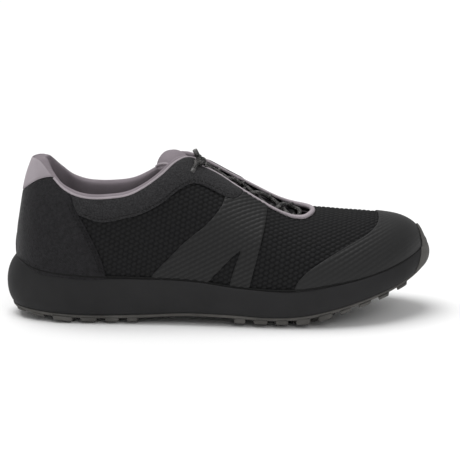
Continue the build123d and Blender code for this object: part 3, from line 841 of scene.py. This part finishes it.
def overlay(name, cuts, height, key, nodes, step=1.0, relief=0.0, fade=None, thickness=0.7,
            rows=(0.0, LAST_ROW), edge=1.2, dome=0.0):
    """Panel on the mesh, cut to its outline and rounded off round its border."""
    patch = Patch(station_rows(step, *rows), girth_columns(step))
    for cut in cuts:
        patch.keep(cut)
    border = patch.edge_distance(edge) / edge
    middle = patch.edge_distance(DOME_REACH) / DOME_REACH if dome else 0 * border
    rounded = dome * np.sin(middle * math.pi / 2) + height - 0.4 * edge_drop(border)
    # tone is the ribs' height; on the film panels the material turns it into painted shade in the furrows
    # and a painted highlight on the ridges.
    tone = rib_relief(patch.u, patch.w)
    if relief:
        strength = fade(patch.u, patch.w) if fade else 1.0
        tone = 0.5 + (tone - 0.5) * strength
        rounded = rounded + relief * (tone - 0.5) * border
    piece = patch.build(name, rounded, mats[key], thickness, tone=tone)
    return place(piece, "shoe", key, *nodes)


def side_only(side):
    return lambda u, w, p: -side * w


def inside_saddle(u, w, p):
    z = p[..., 2]
    s = p[..., 0]
    left = smooth(SADDLE_LEFT)(z) - s
    right = s - smooth(SADDLE_RIGHT)(z)
    return np.maximum(left, right)


def outside_notch(u, w, p):
    z = p[..., 2]
    s = p[..., 0]
    back = s - smooth(NOTCH)(z)
    front = smooth(NOTCH_FRONT)(z) - s
    notch = np.minimum(back, front)
    return np.where(z < NOTCH[-1][0], notch, z * 0 - 5.0)


def toe_fade(u, w):
    """The cloth's rows show through the toe cap less towards its front and its foot."""
    p = skin(u, w)
    front = np.clip((274 - p[..., 0]) / 40, 0.0, 1.0)
    foot = np.clip((p[..., 2] - 36) / 14, 0.0, 1.0)
    return 0.06 + 0.94 * front * (0.25 + 0.75 * foot)


def outer_layers():
    mesh_upper()
    heel = [below_topline, field(HEEL_SEAM, True), above_sole,
            lambda u, w, p: np.where(p[..., 0] < 43, field(TAB_EDGE)(u, w, p), -5.0)]
    overlay("heel_panel_leather", heel, 0.9, "heel", ["heel_panel"], rows=(-1.0, 6.0))
    tab = [below_topline, field(TAB_EDGE, sign=-1), lambda u, w, p: p[..., 0] - 40.5]
    overlay("heel_tab_cover", tab, 1.2, "tab", ["heel_tab"], rows=(-1.0, 5.0))
    for side, label in ((-1, "lateral"), (1, "medial")):
        collar = [below_topline, outside_throat, field(COLLAR_EDGE, sign=-1), side_only(side),
                  field(HEEL_SEAM, True, -1), lambda u, w, p: p[..., 0] - 171.5]
        overlay(f"collar_panel_{label}_skin", collar, 0.9, "collar", [f"collar_panel_{label}"],
                rows=(3.5, 8.5), edge=1.6, dome=1.3)
        saddle = [inside_saddle, outside_notch, above_sole, side_only(side), outside_throat,
                  lambda u, w, p: np.where(p[..., 0] < 171.5, field(COLLAR_EDGE)(u, w, p), -5.0)]
        overlay(f"saddle_{label}_film", saddle, 0.75, "film", [f"saddle_{label}"], step=0.7,
                relief=0.85, rows=(5.0, 9.0), edge=0.9)
    toe = [field(TOE_SEAM, True, -1), above_sole]
    overlay("toe_cap_film", toe, 0.7, "film", ["toe_cap"], step=0.7, relief=0.75, fade=toe_fade,
            rows=(7.8, 2 * LAST_ROW), edge=0.9)


# ---------------------------------------------------------------- tubes

def frames_along(points, closed=False):
    """Tangents and two steady cross directions along a line of points."""
    points = np.asarray(points, dtype=float)
    if closed:
        tangent = np.roll(points, -1, axis=0) - np.roll(points, 1, axis=0)
    else:
        tangent = np.gradient(points, axis=0)
    tangent /= np.linalg.norm(tangent, axis=1, keepdims=True)
    first = np.cross(tangent[0], (0, 0, 1.0))
    if np.linalg.norm(first) < 0.1:
        first = np.cross(tangent[0], (0, 1.0, 0))
    side = first / np.linalg.norm(first)
    sides = []
    for t in tangent:
        side = side - t * side.dot(t)
        side = side / np.linalg.norm(side)
        sides.append(side)
    sides = np.array(sides)
    return tangent, sides, np.cross(tangent, sides)


def rings_round(points, a, b, radius, angle):
    """Circles round a line of points, in the plane of the cross directions a and b."""
    return (points[:, None, :] + a[:, None, :] * (radius * np.cos(angle))[..., None]
            + b[:, None, :] * (radius * np.sin(angle))[..., None])


def tube(name, points, radius, key, around=12, closed=False, ribs=None):
    """Round tube along points.  radius may vary; ribs gives pitch, depth and strands of a twist."""
    points = np.asarray(points, dtype=float)
    _, a, b = frames_along(points, closed)
    angle = np.linspace(0, 2 * math.pi, around, endpoint=False)
    radius = np.broadcast_to(radius, len(points)).astype(float)
    r = radius[:, None] + 0 * angle[None, :]
    if ribs:
        pitch, depth, strands = ribs
        turn = 2 * math.pi * running_length(points)[:, None] / pitch
        braid = np.cos(turn + strands * angle[None, :]) * np.cos(turn - strands * angle[None, :])
        r = r + depth * braid
    vertices = rings_round(points, a, b, r, angle).reshape(-1, 3)
    faces = grid_faces(len(points), around, closed, True)
    if not closed:
        faces.append(tuple(range(around))[::-1])
        start = (len(points) - 1) * around
        faces.append(tuple(start + k for k in range(around)))
    return make_mesh(name, vertices, faces, mats[key])


def nurbs_line(name, points, step):
    """Line of a NURBS spline through control points, read back from Blender."""
    curve = bpy.data.curves.new(name, "CURVE")
    curve.dimensions = "3D"
    curve.resolution_u = 16
    spline = curve.splines.new("NURBS")
    spline.points.add(len(points) - 1)
    for target, p in zip(spline.points, points):
        target.co = (*p, 1)
    spline.order_u = 3
    spline.use_endpoint_u = True
    holder = bpy.data.objects.new(name, curve)
    line = bpy.data.meshes.new_from_object(holder)
    out = np.array([v.co[:] for v in line.vertices])
    bpy.data.objects.remove(holder)
    bpy.data.curves.remove(curve)
    bpy.data.meshes.remove(line)
    return resample(out, step)


# ---------------------------------------------------------------- edges of the opening

def topline_path(depth=0.0, front=139.0, count=150):
    """Points of the skin on the foot opening's edge, lateral front, round the heel, medial front."""
    fine = np.linspace(0, 3.5, 2001)
    crown = rows_at(fine)
    back_row = fine[np.argmax(crown[:, 5] > 111.0)]
    front_row = row_of(front)
    t = np.linspace(1, 0.0, count)
    u = back_row + (front_row - back_row) * t ** 2
    both = []
    for side, rows in ((-1, u), (1, u[::-1][1:])):
        s = rows_at(rows)[:, 0]
        z = np.minimum(top_line(s), rows_at(rows)[:, 5] - 0.01)
        if side > 0:
            z = z + 1.2 * np.clip((s - 44) / 20, 0, 1)
            z = np.minimum(z, rows_at(rows)[:, 5] - 0.01)
        _, w = side_at(s, z, side)
        both.append((rows, w))
    return np.concatenate([both[0][0], both[1][0]]), np.concatenate([both[0][1], both[1][1]])


def throat_path():
    """Plan positions round the throat's edge: lateral, front, medial."""
    return THROAT_LINE[THROAT_LINE[:, 0] > 138]


def bound_edges():
    plan = throat_path()
    u, w = plan_at(plan[:, 0], plan[:, 1])
    line = resample(upper_point(u, w, 0.25), 0.35)
    front = np.clip((line[:, 0] - 192) / 16, 0, 1)
    radius = 1.05 + 0.65 * front
    piece = tube("throat_piping_cord", line, radius, "piping", 14, ribs=(2.2, 0.07, 1))
    place(piece, "shoe", "piping", "throat_piping")
    # The collar's tubes stand for the lining's own rolled edge and take the lighter binding colour: a
    # painted highlight where the roll faces the light.
    u, w = topline_path()
    keep = rows_at(u)[:, 0] > 38
    half = len(u) // 2
    for name, pick in (("lateral", np.arange(len(u)) <= half), ("medial", np.arange(len(u)) > half)):
        line = resample(upper_point(u[keep & pick], w[keep & pick], 0.55), 0.6)
        piece = tube(f"collar_piping_{name}", line, 0.78, "piping", 10, ribs=(2.0, 0.04, 1))
        place(piece, "shoe", "piping", "collar_piping")


# ---------------------------------------------------------------- padded collar and lining

# The lining's section from the opening's edge inwards: distance in from the edge, height over it.
PAD_PROFILE = [
    (-0.6, -1.6), (0.2, 0.6), (2.2, 2.0), (4.8, 1.9), (7.0, 0.0), (8.4, -4.0), (9.0, -10.0),
    (8.8, -17.0), (7.0, -24.0), (5.1, -31.0), (4.1, -38.0), (3.8, -46.0), (3.7, -56.0),
]
PAD_FOOT = 38.0          # height above the ground where the lining ends
HEEL_LEAN = 13.0         # how far the heel's back wall runs out below the tab


def collar_padding():
    """Lining that rolls over the foam from the opening's edge down into the shoe."""
    u, w = topline_path(count=130)
    edge = upper_point(u, w, 0.0)
    inward = -outward(u, w)
    inward[:, 2] = 0
    inward /= np.linalg.norm(inward, axis=1, keepdims=True)
    for _ in range(6):
        inward[1:-1] = (inward[:-2] + inward[1:-1] + inward[2:]) / 3
    inward /= np.linalg.norm(inward, axis=1, keepdims=True)
    s = edge[:, 0]
    profile = resample([(h, 0, z) for h, z in PAD_PROFILE], 1.0)
    crease = np.exp(-((s - 42) / 4.5) ** 2)
    full = np.interp(s, [10, 30, 42, 60, 95, 120, 132, 140],
                     [1.15, 1.1, 0.8, 1.05, 1.1, 0.9, 0.6, 0.35])
    top = np.interp(s, [22, 34, 50, 110, 120, 135], [0.0, 0.5, 1.0, 1.0, 1.2, 0.6])
    rows = []
    for i in range(len(u)):
        depth = profile[:, 0] * np.where(profile[:, 0] > 0, full[i] - 0.12 * crease[i], 1)
        drop = np.where(profile[:, 2] > 0, profile[:, 2] * top[i], profile[:, 2])
        reach = edge[i, 2] - PAD_FOOT
        scale = np.where(drop < -10, 1 + (reach / 56.0 - 1) * (-(drop + 10) / 46.0), 1)
        z = edge[i, 2] + drop * scale
        station_wall = np.full(len(z), s[i])
        _, wall_w = side_at(station_wall, np.minimum(z, edge[i, 2]), -1 if i <= len(u) // 2 else 1)
        wall_y = skin(row_of(station_wall), wall_w)[:, 1]
        lean = (wall_y - edge[i, 1]) * (1 if abs(inward[i, 1]) > 0.5 else 0.4)
        lean = np.where(drop < 0, lean, 0)
        point = edge[i][None, :] + inward[i][None, :] * depth[:, None]
        point[:, 1] += lean * abs(inward[i, 1])
        point[:, 0] -= HEEL_LEAN * max(inward[i, 0], 0) * np.clip((edge[i, 2] - z) / 55, 0, 1)
        point[:, 2] = z
        rows.append(point)
    grid = np.array(rows)
    for _ in range(3):
        grid[1:-1] = (grid[:-2] + 2 * grid[1:-1] + grid[2:]) / 4
    vertices = grid.reshape(-1, 3)
    piece = make_mesh("collar_padding", vertices, grid_faces(*grid.shape[:2]), mats["lining"])
    subdivide(piece)
    place(piece, "shoe", "lining", "collar_lining", "collar_foam")


LINING_DEPTH = 3.9       # below the mesh's outer face


def inner_lining():
    """Lining of the front of the shoe, seen through the opening and the throat."""
    patch = Patch(station_rows(3.0, row_of(100.0), LAST_ROW), girth_columns(3.0))
    patch.keep(below_topline)
    patch.keep(outside_throat)
    patch.keep(lambda u, w, p: 24 - p[..., 2])
    piece = patch.build("vamp_lining_knit", -LINING_DEPTH, mats["lining"], 0.5)
    place(piece, "shoe", "lining", "vamp_lining")


# ---------------------------------------------------------------- tongue

# Station, lateral y, medial y.
TONGUE = [
    (106, -8, 10), (112, -12, 13), (116, -14, 15), (128, -16, 17), (150, -19, 19), (180, -21, 22),
    (203, -21, 19),
]


TONGUE_THICKNESS = 6.2
TONGUE_DEPTH = 8.1       # from the mesh's outer face down to the pad's middle
QUILT_RISE = 0.4


def tongue():
    """Padded tongue: an arched pad with rounded edges, and a dark face over its front."""
    low = smooth([(s, a) for s, a, b in TONGUE])
    high = smooth([(s, b) for s, a, b in TONGUE])
    stations = np.linspace(107.2, 203.4, 78)
    across = np.linspace(-1, 1, 41)
    top = []
    bottom = []
    for s in stations:
        mouth = math.sqrt(max(0.0, 1 - max(0.0, (113 - s) / 5.9) ** 2))
        a = float(low(s)) * (0.55 + 0.45 * mouth) - 0.3
        b = float(high(s)) * (0.55 + 0.45 * mouth) + 0.3
        y = a + (b - a) * (across + 1) / 2
        u, w = plan_at(np.full(len(y), s), y)
        p = skin(u, w)
        slope = np.abs(outward(u, w)[:, 2])
        pad = TONGUE_THICKNESS * np.sqrt(np.clip(1 - across ** 4, 0, 1)) * (0.25 + 0.75 * mouth)
        quilt = 0.5 * (0.5 + 0.5 * math.cos((s - 123) / 9.0)) if s < 190 else 0.0
        centre = p[:, 2] - TONGUE_DEPTH / slope
        curl = max(0.0, (115 - s) / 7.8)
        lift = 5.0 * math.exp(-((s - 122) / 9.5) ** 2) - 6.0 * curl ** 2
        quilting = quilt * (1 - across ** 2) * QUILT_RISE
        top.append(np.stack([p[:, 0], y, centre + pad / 2 + quilting + lift], axis=1))
        bottom.append(np.stack([p[:, 0], y, centre - pad / 2 + lift], axis=1))
    pad = closed_pad("tongue_pad", top, bottom, mats["lining"])
    weld(pad, 0.0001)
    subdivide(pad)
    place(pad, "tongue", "lining", "tongue_foam", "tongue_lining")
    face = np.array(top)[22:, 1:-1] + np.array([0, 0, 0.35])
    cover = make_mesh("tongue_face", face.reshape(-1, 3), grid_faces(*face.shape[:2]), mats["tongue"])
    thicken(cover, 0.8)
    place(cover, "tongue", "tongue", "tongue_cover")
    rim = np.array(top)[:20, 3] + np.array([0, 0, 0.2])
    band = tube("tongue_edge_binding", resample(rim, 0.8), 1.0, "piping", 10)
    place(band, "tongue", "piping", "tongue_binding")


# ---------------------------------------------------------------- lace

def lace_points():
    """The lace's route with heights, taken from the skin over each point."""
    out = []
    for s, y, depth in LACE:
        p, level = crown_point(s, y)
        out.append((s, y, p[2] - depth / level))
    return np.array(out)


def lacing():
    route = lace_points()
    line = nurbs_line("lace_route", route, 0.45)
    cord = tube("lace_cord", line, LACE_RADIUS, "lace", 14, ribs=(5.0, 0.13, 4))
    place(cord, "shoe", "lace", "lace")
    for label, places in LOOPS.items():
        for k, (s, y) in enumerate(places):
            z = crown_point(s, y)[0][2] - 2.3
            angle = np.linspace(0, 2 * math.pi, 28, endpoint=False)
            ring = np.stack([s + 0.6 * np.sin(2 * angle), y + 2.55 * np.cos(angle),
                             z + 2.35 * np.sin(angle)], axis=1)
            piece = tube(f"lace_loop_{label}_{k}", ring, 0.75, "lace", 8, closed=True)
            place(piece, "shoe", "lace", f"lace_loops_{label}")
    knot()


def knot():
    p, level = crown_point(*KNOT)
    centre = np.array([*KNOT, p[2] + 3.2 / level])
    angle = np.linspace(0, 2 * math.pi, 120, endpoint=False)
    trefoil = np.stack([np.sin(angle) + 2 * np.sin(2 * angle), np.cos(angle) - 2 * np.cos(2 * angle),
                        -1.6 * np.sin(3 * angle)], axis=1) * np.array([0.95, 0.9, 1.15])
    turn = np.array(Matrix.Rotation(0.9, 3, "Y") @ Matrix.Rotation(0.5, 3, "X"))
    body = tube("lace_knot_turns", trefoil @ turn.T + centre, 1.5, "lace", 12, closed=True,
                ribs=(5.0, 0.12, 4))
    place(body, "shoe", "lace", "lace_knot")
    for name, steps in (("up", END_UP), ("down", END_DOWN)):
        line = resample([centre + np.array(step) for step in steps], 0.45)
        piece = tube(f"lace_end_{name}", line, END_RADIUS, "lace", 12, ribs=(5.0, 0.16, 4))
        place(piece, "shoe", "lace", "lace_ends")
        direction = line[-1] - line[-2]
        direction /= np.linalg.norm(direction)
        tip = [line[-1] + direction * d for d in np.linspace(-0.6, 3.0, 12)]
        radius = 1.75 * np.sqrt(np.clip(1 - (np.linspace(-1, 1, 12)) ** 8, 0.05, 1))
        piece = tube(f"lace_tip_{name}", tip, radius, "tip", 12)
        place(piece, "shoe", "tip", "lace_tips")


# ---------------------------------------------------------------- sole

def sole_outline(count):
    """Points round the sole's widest outline, with outward directions, by a cubic B-spline."""
    n = len(SOLE)
    t = np.linspace(0, n, count, endpoint=False)
    k = t.astype(int)
    f = (t - k)[:, None]
    p = [SOLE[(k + i) % n] for i in range(4)]
    weights = ((1 - f) ** 3, 3 * f ** 3 - 6 * f ** 2 + 4, -3 * f ** 3 + 3 * f ** 2 + 3 * f + 1, f ** 3)
    points = sum(w * q for w, q in zip(weights, p)) / 6
    closed = np.vstack([points, points[:1]])
    run = running_length(closed)
    points = points_at(np.linspace(0, run[-1], count, endpoint=False), run, closed)
    along = np.roll(points, -1, axis=0) - np.roll(points, 1, axis=0)
    along /= np.linalg.norm(along, axis=1, keepdims=True)
    out = np.stack([along[:, 1], -along[:, 0]], axis=1)
    if np.sum(out * (points - points.mean(axis=0))) < 0:
        out = -out
    return points, out


SOLE_COUNT = 460         # points round the sole's outline


def heel_share(s):
    """1 at the very back of the heel, falling to 0 at station 14."""
    return np.clip((14 - s) / 14, 0, 1) ** 1.5


def midsole_rings():
    """Rings round the midsole, from under its bottom edge up over its top edge."""
    outline, out = sole_outline(SOLE_COUNT)
    s = outline[:, 0]
    low = sole_bottom(s)
    heel = heel_share(s)
    top = sole_top(s) + 2.5 * heel
    # height share, inset, extra inset at the back of the heel
    profile = [
        (0.00, 7.0, 0), (0.00, 2.6, 2.2), (0.04, 1.7, 1.5), (0.12, 0.9, 0.7), (0.25, 0.3, 0.1),
        (0.42, 0.0, 0.0), (0.58, 0.05, 0.5), (0.72, 0.35, 1.6), (0.84, 0.8, 3.2), (0.93, 1.3, 5.0),
        (0.985, 1.9, 6.6), (1.00, 2.7, 7.4), (0.985, 3.6, 8.0), (0.93, 4.6, 8.6), (0.80, 6.5, 9.5),
    ]
    rings = []
    for share, inset, extra in profile:
        z = low + (top - low) * share
        ring = outline - out * (inset + extra * heel)[:, None]
        if 0.1 < share < 0.6:
            arch = 14.0 + 4.0 * np.exp(-((s - 129) / 12.0) ** 2)
            groove = 0.35 * np.exp(-((z - arch) / 1.0) ** 2) * (np.abs(s - 129) < 24)
            ring = ring - out * groove[:, None]
        rings.append(np.column_stack([ring, z]))
    return np.array(rings)


SOLE_GRID = midsole_rings()


def midsole():
    faces = grid_faces(*SOLE_GRID.shape[:2], False, True)
    piece = make_mesh("midsole_foam_body", SOLE_GRID.reshape(-1, 3), faces, mats["eva"])
    subdivide(piece)
    place(piece, "shoe", "eva", "midsole")


# First and last station of each lug along the sole's edge.
EDGE_LUGS = [(9, 16), (20, 30), (36, 50), (55, 67), (72, 82), (87, 95), (161, 169), (174, 184),
             (189, 198), (203, 213), (218, 228), (233, 241), (246, 255), (260, 268), (274, 282)]


def rounded_block(corners, z_low, z_top, soft):
    """Block with softened foot edges over a four-cornered plan."""
    corners = np.array(corners, dtype=float)
    middle = corners.mean(axis=0)
    plan = []
    for k in range(4):
        before, here, after = corners[k - 1], corners[k], corners[(k + 1) % 4]
        for t in (0, 0.5, 1):
            start = here + (before - here) * min(0.45, soft / np.linalg.norm(before - here))
            end = here + (after - here) * min(0.45, soft / np.linalg.norm(after - here))
            plan.append((1 - t) ** 2 * start + 2 * t * (1 - t) * here + t * t * end)
    plan = np.array(plan)
    rings = []
    for z, size in ((z_top, 1.03), (z_low + 0.8, 1.0), (z_low + 0.2, 0.96), (z_low, 0.88)):
        ring = middle + (plan - middle) * size
        rings.append(np.column_stack([ring, np.full(len(ring), 0.0) + z]))
    grid = np.array(rings)
    faces = grid_faces(len(rings), len(plan), False, True)
    last = (len(rings) - 1) * len(plan)
    faces.append(tuple(last + k for k in range(len(plan))))
    faces.append(tuple(range(len(plan)))[::-1])
    return grid.reshape(-1, 3), faces


def outsole():
    """Sole plate that closes on a line under the foot, with the lugs standing out of it."""
    outline, out = sole_outline(SOLE_COUNT)
    low = sole_bottom(outline[:, 0])
    heel = heel_share(outline[:, 0])
    # height over the midsole's bottom edge, inset
    profile = [
        (0.4, 6.0), (0.35, 2.7), (0.1, 2.1), (-0.3, 1.9), (-1.2, 2.1), (-2.0, 2.8), (-2.4, 4.2),
        (-2.4, 9.0),
    ]
    rings = []
    for rise, inset in profile:
        ring = outline - out * (inset + 2.0 * heel)[:, None]
        rings.append(np.column_stack([ring, low + rise]))
    rim = rings[-1]
    for share in np.linspace(0.9, 0.0, 10):
        inner = rim.copy()
        inner[:, 1] = 1.0 + (inner[:, 1] - 1.0) * share
        if share < 0.05:
            inner[:, 1] = 1.0
        inner[:, 2] = sole_bottom(inner[:, 0]) - 2.4
        rings.append(inner)
    grid = np.array(rings)
    vertices = [grid.reshape(-1, 3)]
    faces = grid_faces(len(rings), SOLE_COUNT, False, True)
    offset = len(vertices[0])
    lug_rise = smooth([
        (0, 1.6), (100, 1.8), (160, 2.4), (205, 2.6), (228, 2.6), (242, 1.6), (262, 0.8), (300, 0.3),
    ])
    low_side = smooth([(p[0], p[1]) for p in SOLE[:16]])
    high_side = smooth([(p[0], p[1]) for p in np.vstack([SOLE[:1], SOLE[:15:-1]])])
    blocks = []
    for a, b in EDGE_LUGS:
        for edge, sign in ((low_side, 1), (high_side, -1)):
            inset = 2.6 if 30 < a < 270 else 4.5
            corners = [(a, edge(a) + sign * inset), (b, edge(b) + sign * inset),
                       (b - 0.8, edge(b) + sign * (inset + 10)), (a + 0.8, edge(a) + sign * (inset + 10))]
            blocks.append((corners, (a + b) / 2, float(lug_rise(a))))
    for first, last in ((16, 92), (190, 282)):
        for row, a in enumerate(np.arange(first, last - 6, 11.0)):
            left = max(low_side(a), low_side(a + 8)) + 15.5
            right = min(high_side(a), high_side(a + 8)) - 15.5
            number = max(int((right - left) / 11.5), 1)
            if right - left < 8:
                continue
            width = (right - left) / number
            for k in range(number):
                y = left + k * width
                skew = 2.0 if (row + k) % 2 else -2.0
                corners = [(a, y + 1.2), (a + 8 + skew * 0.3, y + 1.2 + skew * 0.4),
                           (a + 8, y + width - 1.6), (a + skew * 0.3, y + width - 1.6)]
                blocks.append((corners, a + 4, 0.0))
    for corners, middle, rise in blocks:
        z_top = float(sole_bottom(middle)) - 1.5
        z_low = float(max(ground(middle), 0.0)) + rise
        points, block = rounded_block(corners, z_low, z_top, 2.0)
        tilt = (ground(points[:, 0]) - ground(middle)) * 0.9
        points[:, 2] = np.maximum(points[:, 2] + tilt, 0.0)
        vertices.append(points)
        faces += [tuple(i + offset for i in f) for f in block]
        offset += len(points)
    piece = make_mesh("outsole_rubber_lugs", np.vstack(vertices), faces, mats["rubber"])
    weld(piece, 0.00002)
    place(piece, "shoe", "rubber", "outsole")


def toe_guard():
    """Rubber that turns up over the toe, on the midsole's front and then on the toe cap."""
    rings, count = len(SOLE_GRID), len(SOLE_GRID[0])
    front = np.where(SOLE_GRID[5][:, 0] > 270)[0]

    def wall(u, w):
        """Point of the midsole's side: u counts round the outline and w up the profile."""
        u = np.clip(u, 0, count - 1.001)
        w = np.clip(w, 0, rings - 1.001)
        return blend(SOLE_GRID.swapaxes(0, 1), u, w)

    patch = Patch(np.arange(front[0], front[-1] + 1, 0.5), np.linspace(1.2, 11.5, 40), wall)
    patch.keep(field(BUMPER_EDGE, True, -1))
    away = outward(patch.u, patch.w, wall)
    sign = np.sign(np.mean(away[:, 0]))
    border = patch.edge_distance(2.0) / 2.0
    height = 0.9 - 0.8 * edge_drop(border)
    points = wall(patch.u, patch.w) + away * (sign * height)[:, None]
    faces = patch.faces if sign > 0 else [face[::-1] for face in patch.faces]
    lower = make_mesh("toe_guard_lower", points, faces, mats["rubber"])
    thicken(lower, 1.2)
    place(lower, "shoe", "rubber")
    guard = [field(BUMPER_EDGE, True, -1), lambda u, w, p: p[..., 2] - 63.5,
             lambda u, w, p: sole_top(p[..., 0]) - 4.0 - p[..., 2]]
    overlay("toe_guard_upper", guard, 1.9, "rubber", ["toe_bumper"], step=0.8, thickness=1.6,
            rows=(10.5, 2 * LAST_ROW), edge=2.0)


# ---------------------------------------------------------------- insole

FOOTBED_GAP = ([100, 120, 142, 175], [2.4, 6.2, 6.2, 0.0])     # station, extra gap to the lining


FOOTBED_LIFT = 2.3       # gap between the upper's bottom edge and the footbed
FOOTBED_THICKNESS = 5.0
FOOTBED_SIDE_GAP = 4.9
CUP_RISE, ARCH_RISE = 2.6, 5.0


def insole():
    """Cupped foam insole with a knitted top, under the foot."""
    stations = np.linspace(21.5, 289, 70)
    across = np.linspace(-1, 1, 31)
    top = []
    low = []
    for s in stations:
        row = rows_at(row_of(s))
        end = math.sqrt(max(0.02, 1 - max(0.0, (38 - s) / 17.0) ** 2 if s < 38 else
                            max(0.02, 1 - max(0.0, (s - 266) / 24.0) ** 2)))
        middle = (row[1] + row[2]) / 2
        half = (row[2] - row[1]) / 2 * FOOT - FOOTBED_SIDE_GAP - np.interp(s, FOOTBED_GAP[0], FOOTBED_GAP[1])
        half = max(half, 1.0)
        y = middle + across * half
        floor = row[3] + FOOTBED_LIFT
        cup = CUP_RISE * np.abs(across) ** 4 * (1 if s < 110 else max(0.15, 1 - (s - 110) / 70))
        arch = ARCH_RISE * math.exp(-((s - 125) / 32.0) ** 2) * np.clip(across, 0, 1) ** 2
        top.append(np.stack([np.full(len(y), s), y, floor + FOOTBED_THICKNESS + cup + arch], axis=1))
        low.append(np.stack([np.full(len(y), s), y, floor + 0 * y], axis=1))
    piece = closed_pad("insole_footbed", top, low, mats["insole"])
    place(piece, "footbed", "insole", "insole", "insole_cover")


# ---------------------------------------------------------------- stitching, and a painted shadow line along the sole

STITCH_RINGS = 5
STITCH_SIDES = 6


def stitches(name, line, normal, length=1.9, gap=0.9, radius=0.28):
    """Row of short thread stitches along a line on the surface."""
    run = running_length(line)
    last = (STITCH_RINGS - 1) * STITCH_SIDES
    vertices = []
    faces = []
    offset = 0
    for start in np.arange(0, run[-1] - length, length + gap):
        at = np.linspace(start, start + length, STITCH_RINGS)
        lift = 0.22 * np.sin(np.linspace(0, math.pi, STITCH_RINGS)) - 0.05
        centre = points_at(at, run, line) + points_at(at, run, normal) * lift[:, None]
        _, a, b = frames_along(centre)
        angle = np.linspace(0, 2 * math.pi, STITCH_SIDES, endpoint=False)
        width = radius * np.array([0.5, 1, 1, 1, 0.5])[:, None]
        vertices.append(rings_round(centre, a, b, width, angle).reshape(-1, 3))
        tube_faces = grid_faces(STITCH_RINGS, STITCH_SIDES, False, True)
        faces += [tuple(i + offset for i in f) for f in tube_faces]
        faces.append(tuple(offset + k for k in range(STITCH_SIDES))[::-1])
        faces.append(tuple(offset + last + k for k in range(STITCH_SIDES)))
        offset += last + STITCH_SIDES
    piece = make_mesh(name, np.vstack(vertices), faces, mats["thread"])
    return place(piece, "shoe", "thread")


def seam_line(curve, by_height, side, shift, height, low, high):
    """Points and normals along a panel edge, moved sideways by a shift."""
    edge = smooth(curve)
    t = np.linspace(low, high, 160)
    if by_height:
        s, z = edge(t) + shift, t
    else:
        s, z = t, edge(t) + shift
    u, w = side_at(s, z, side)
    return upper_point(u, w, height), outward(u, w)


COLLAR_STITCH = 1.35     # height of the thread on the padded collar's face


def stitching():
    for side, label in ((-1, "lateral"), (1, "medial")):
        for k, shift in enumerate((-1.6, -3.6)):
            line, normal = seam_line(HEEL_SEAM, True, side, shift, 0.95, 36, 84)
            stitches(f"heel_stitch_{label}_{k}", line, normal)
        line, normal = seam_line(COLLAR_EDGE, False, side, 1.9, COLLAR_STITCH, 60, 164)
        stitches(f"collar_stitch_{label}", line, normal)
    # A thin dark cord round the upper's foot, just above the midsole: a painted shadow line for the gap
    # where the two meet.
    for side, label in ((-1, "lateral"), (1, "medial")):
        s = np.linspace(13, 292, 400)
        u, w = side_at(s, sole_top(s) + 0.5, side)
        tube_line = resample(upper_point(u, w, 0.45), 0.8)
        place(tube(f"painted_sole_shadow_{label}", tube_line, 0.75, "thread", 8), "shoe", "thread")


# ---------------------------------------------------------------- CAD nodes that stay

def dress_cad_nodes():
    keep = {
        "strobel_board": "board", "vamp_backing": "foam", "heel_counter": "board",
        "toe_puff": "board",
    }
    for node, key in keep.items():
        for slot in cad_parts[node].material_slots:
            slot.material = mats[key]


# ---------------------------------------------------------------- stage

WHITE = (0.93, 0.93, 0.93)
CAMERA_PLACE = (0.0085, -0.889, 0.2406)
CAMERA_TILT = 11.6       # degrees down from level
CAMERA_LENS = 100.4087   # millimetres


def studio():
    """White floor and surroundings, two wide suns and the camera."""
    bpy.ops.mesh.primitive_plane_add(size=8, location=(0, 0, 0))
    floor = bpy.context.object
    floor.name = "floor"
    floor.data.materials.append(material(
        "floor_white", WHITE, 0.6, mottled(WHITE, 3.0, 0.995, 1.0, 50.0, 0.00001)))
    world = bpy.data.worlds.new("studio")
    bpy.context.scene.world = world
    world.use_nodes = True
    tree = world.node_tree
    surround = tree.nodes["Background"]
    surround.inputs["Color"].default_value = (1, 1, 1, 1)
    surround.inputs["Strength"].default_value = 0.5
    backdrop = tree.nodes.new("ShaderNodeBackground")
    backdrop.inputs["Color"].default_value = (1, 1, 1, 1)
    backdrop.inputs["Strength"].default_value = 1.05
    seen = tree.nodes.new("ShaderNodeLightPath")
    choose = tree.nodes.new("ShaderNodeMixShader")
    tree.links.new(seen.outputs["Is Camera Ray"], choose.inputs[0])
    tree.links.new(surround.outputs[0], choose.inputs[1])
    tree.links.new(backdrop.outputs[0], choose.inputs[2])
    tree.links.new(choose.outputs[0], tree.nodes["World Output"].inputs["Surface"])
    lights = [("overhead", (-0.25, 0.1, 1.0), 2.2, 45), ("front", (0.5, -1.0, 0.9), 0.35, 25)]
    for name, source, power, width in lights:
        light = bpy.data.lights.new(name, "SUN")
        light.energy = power
        light.angle = math.radians(width)
        lamp = bpy.data.objects.new(name, light)
        lamp.rotation_euler = (-Vector(source)).to_track_quat("-Z", "Y").to_euler()
        bpy.context.collection.objects.link(lamp)
    camera = bpy.data.objects.new("camera", bpy.data.cameras.new("camera"))
    bpy.context.collection.objects.link(camera)
    camera.location = CAMERA_PLACE
    camera.rotation_euler = (math.radians(90 - CAMERA_TILT), 0, 0)
    camera.data.lens = CAMERA_LENS
    camera.data.sensor_width = 36
    camera.data.clip_start = 0.01
    bpy.context.scene.camera = camera
    bpy.context.scene.view_settings.view_transform = "Standard"


outer_layers()
bound_edges()
collar_padding()
inner_lining()
tongue()
lacing()
midsole()
outsole()
toe_guard()
insole()
stitching()
dress_cad_nodes()
studio()
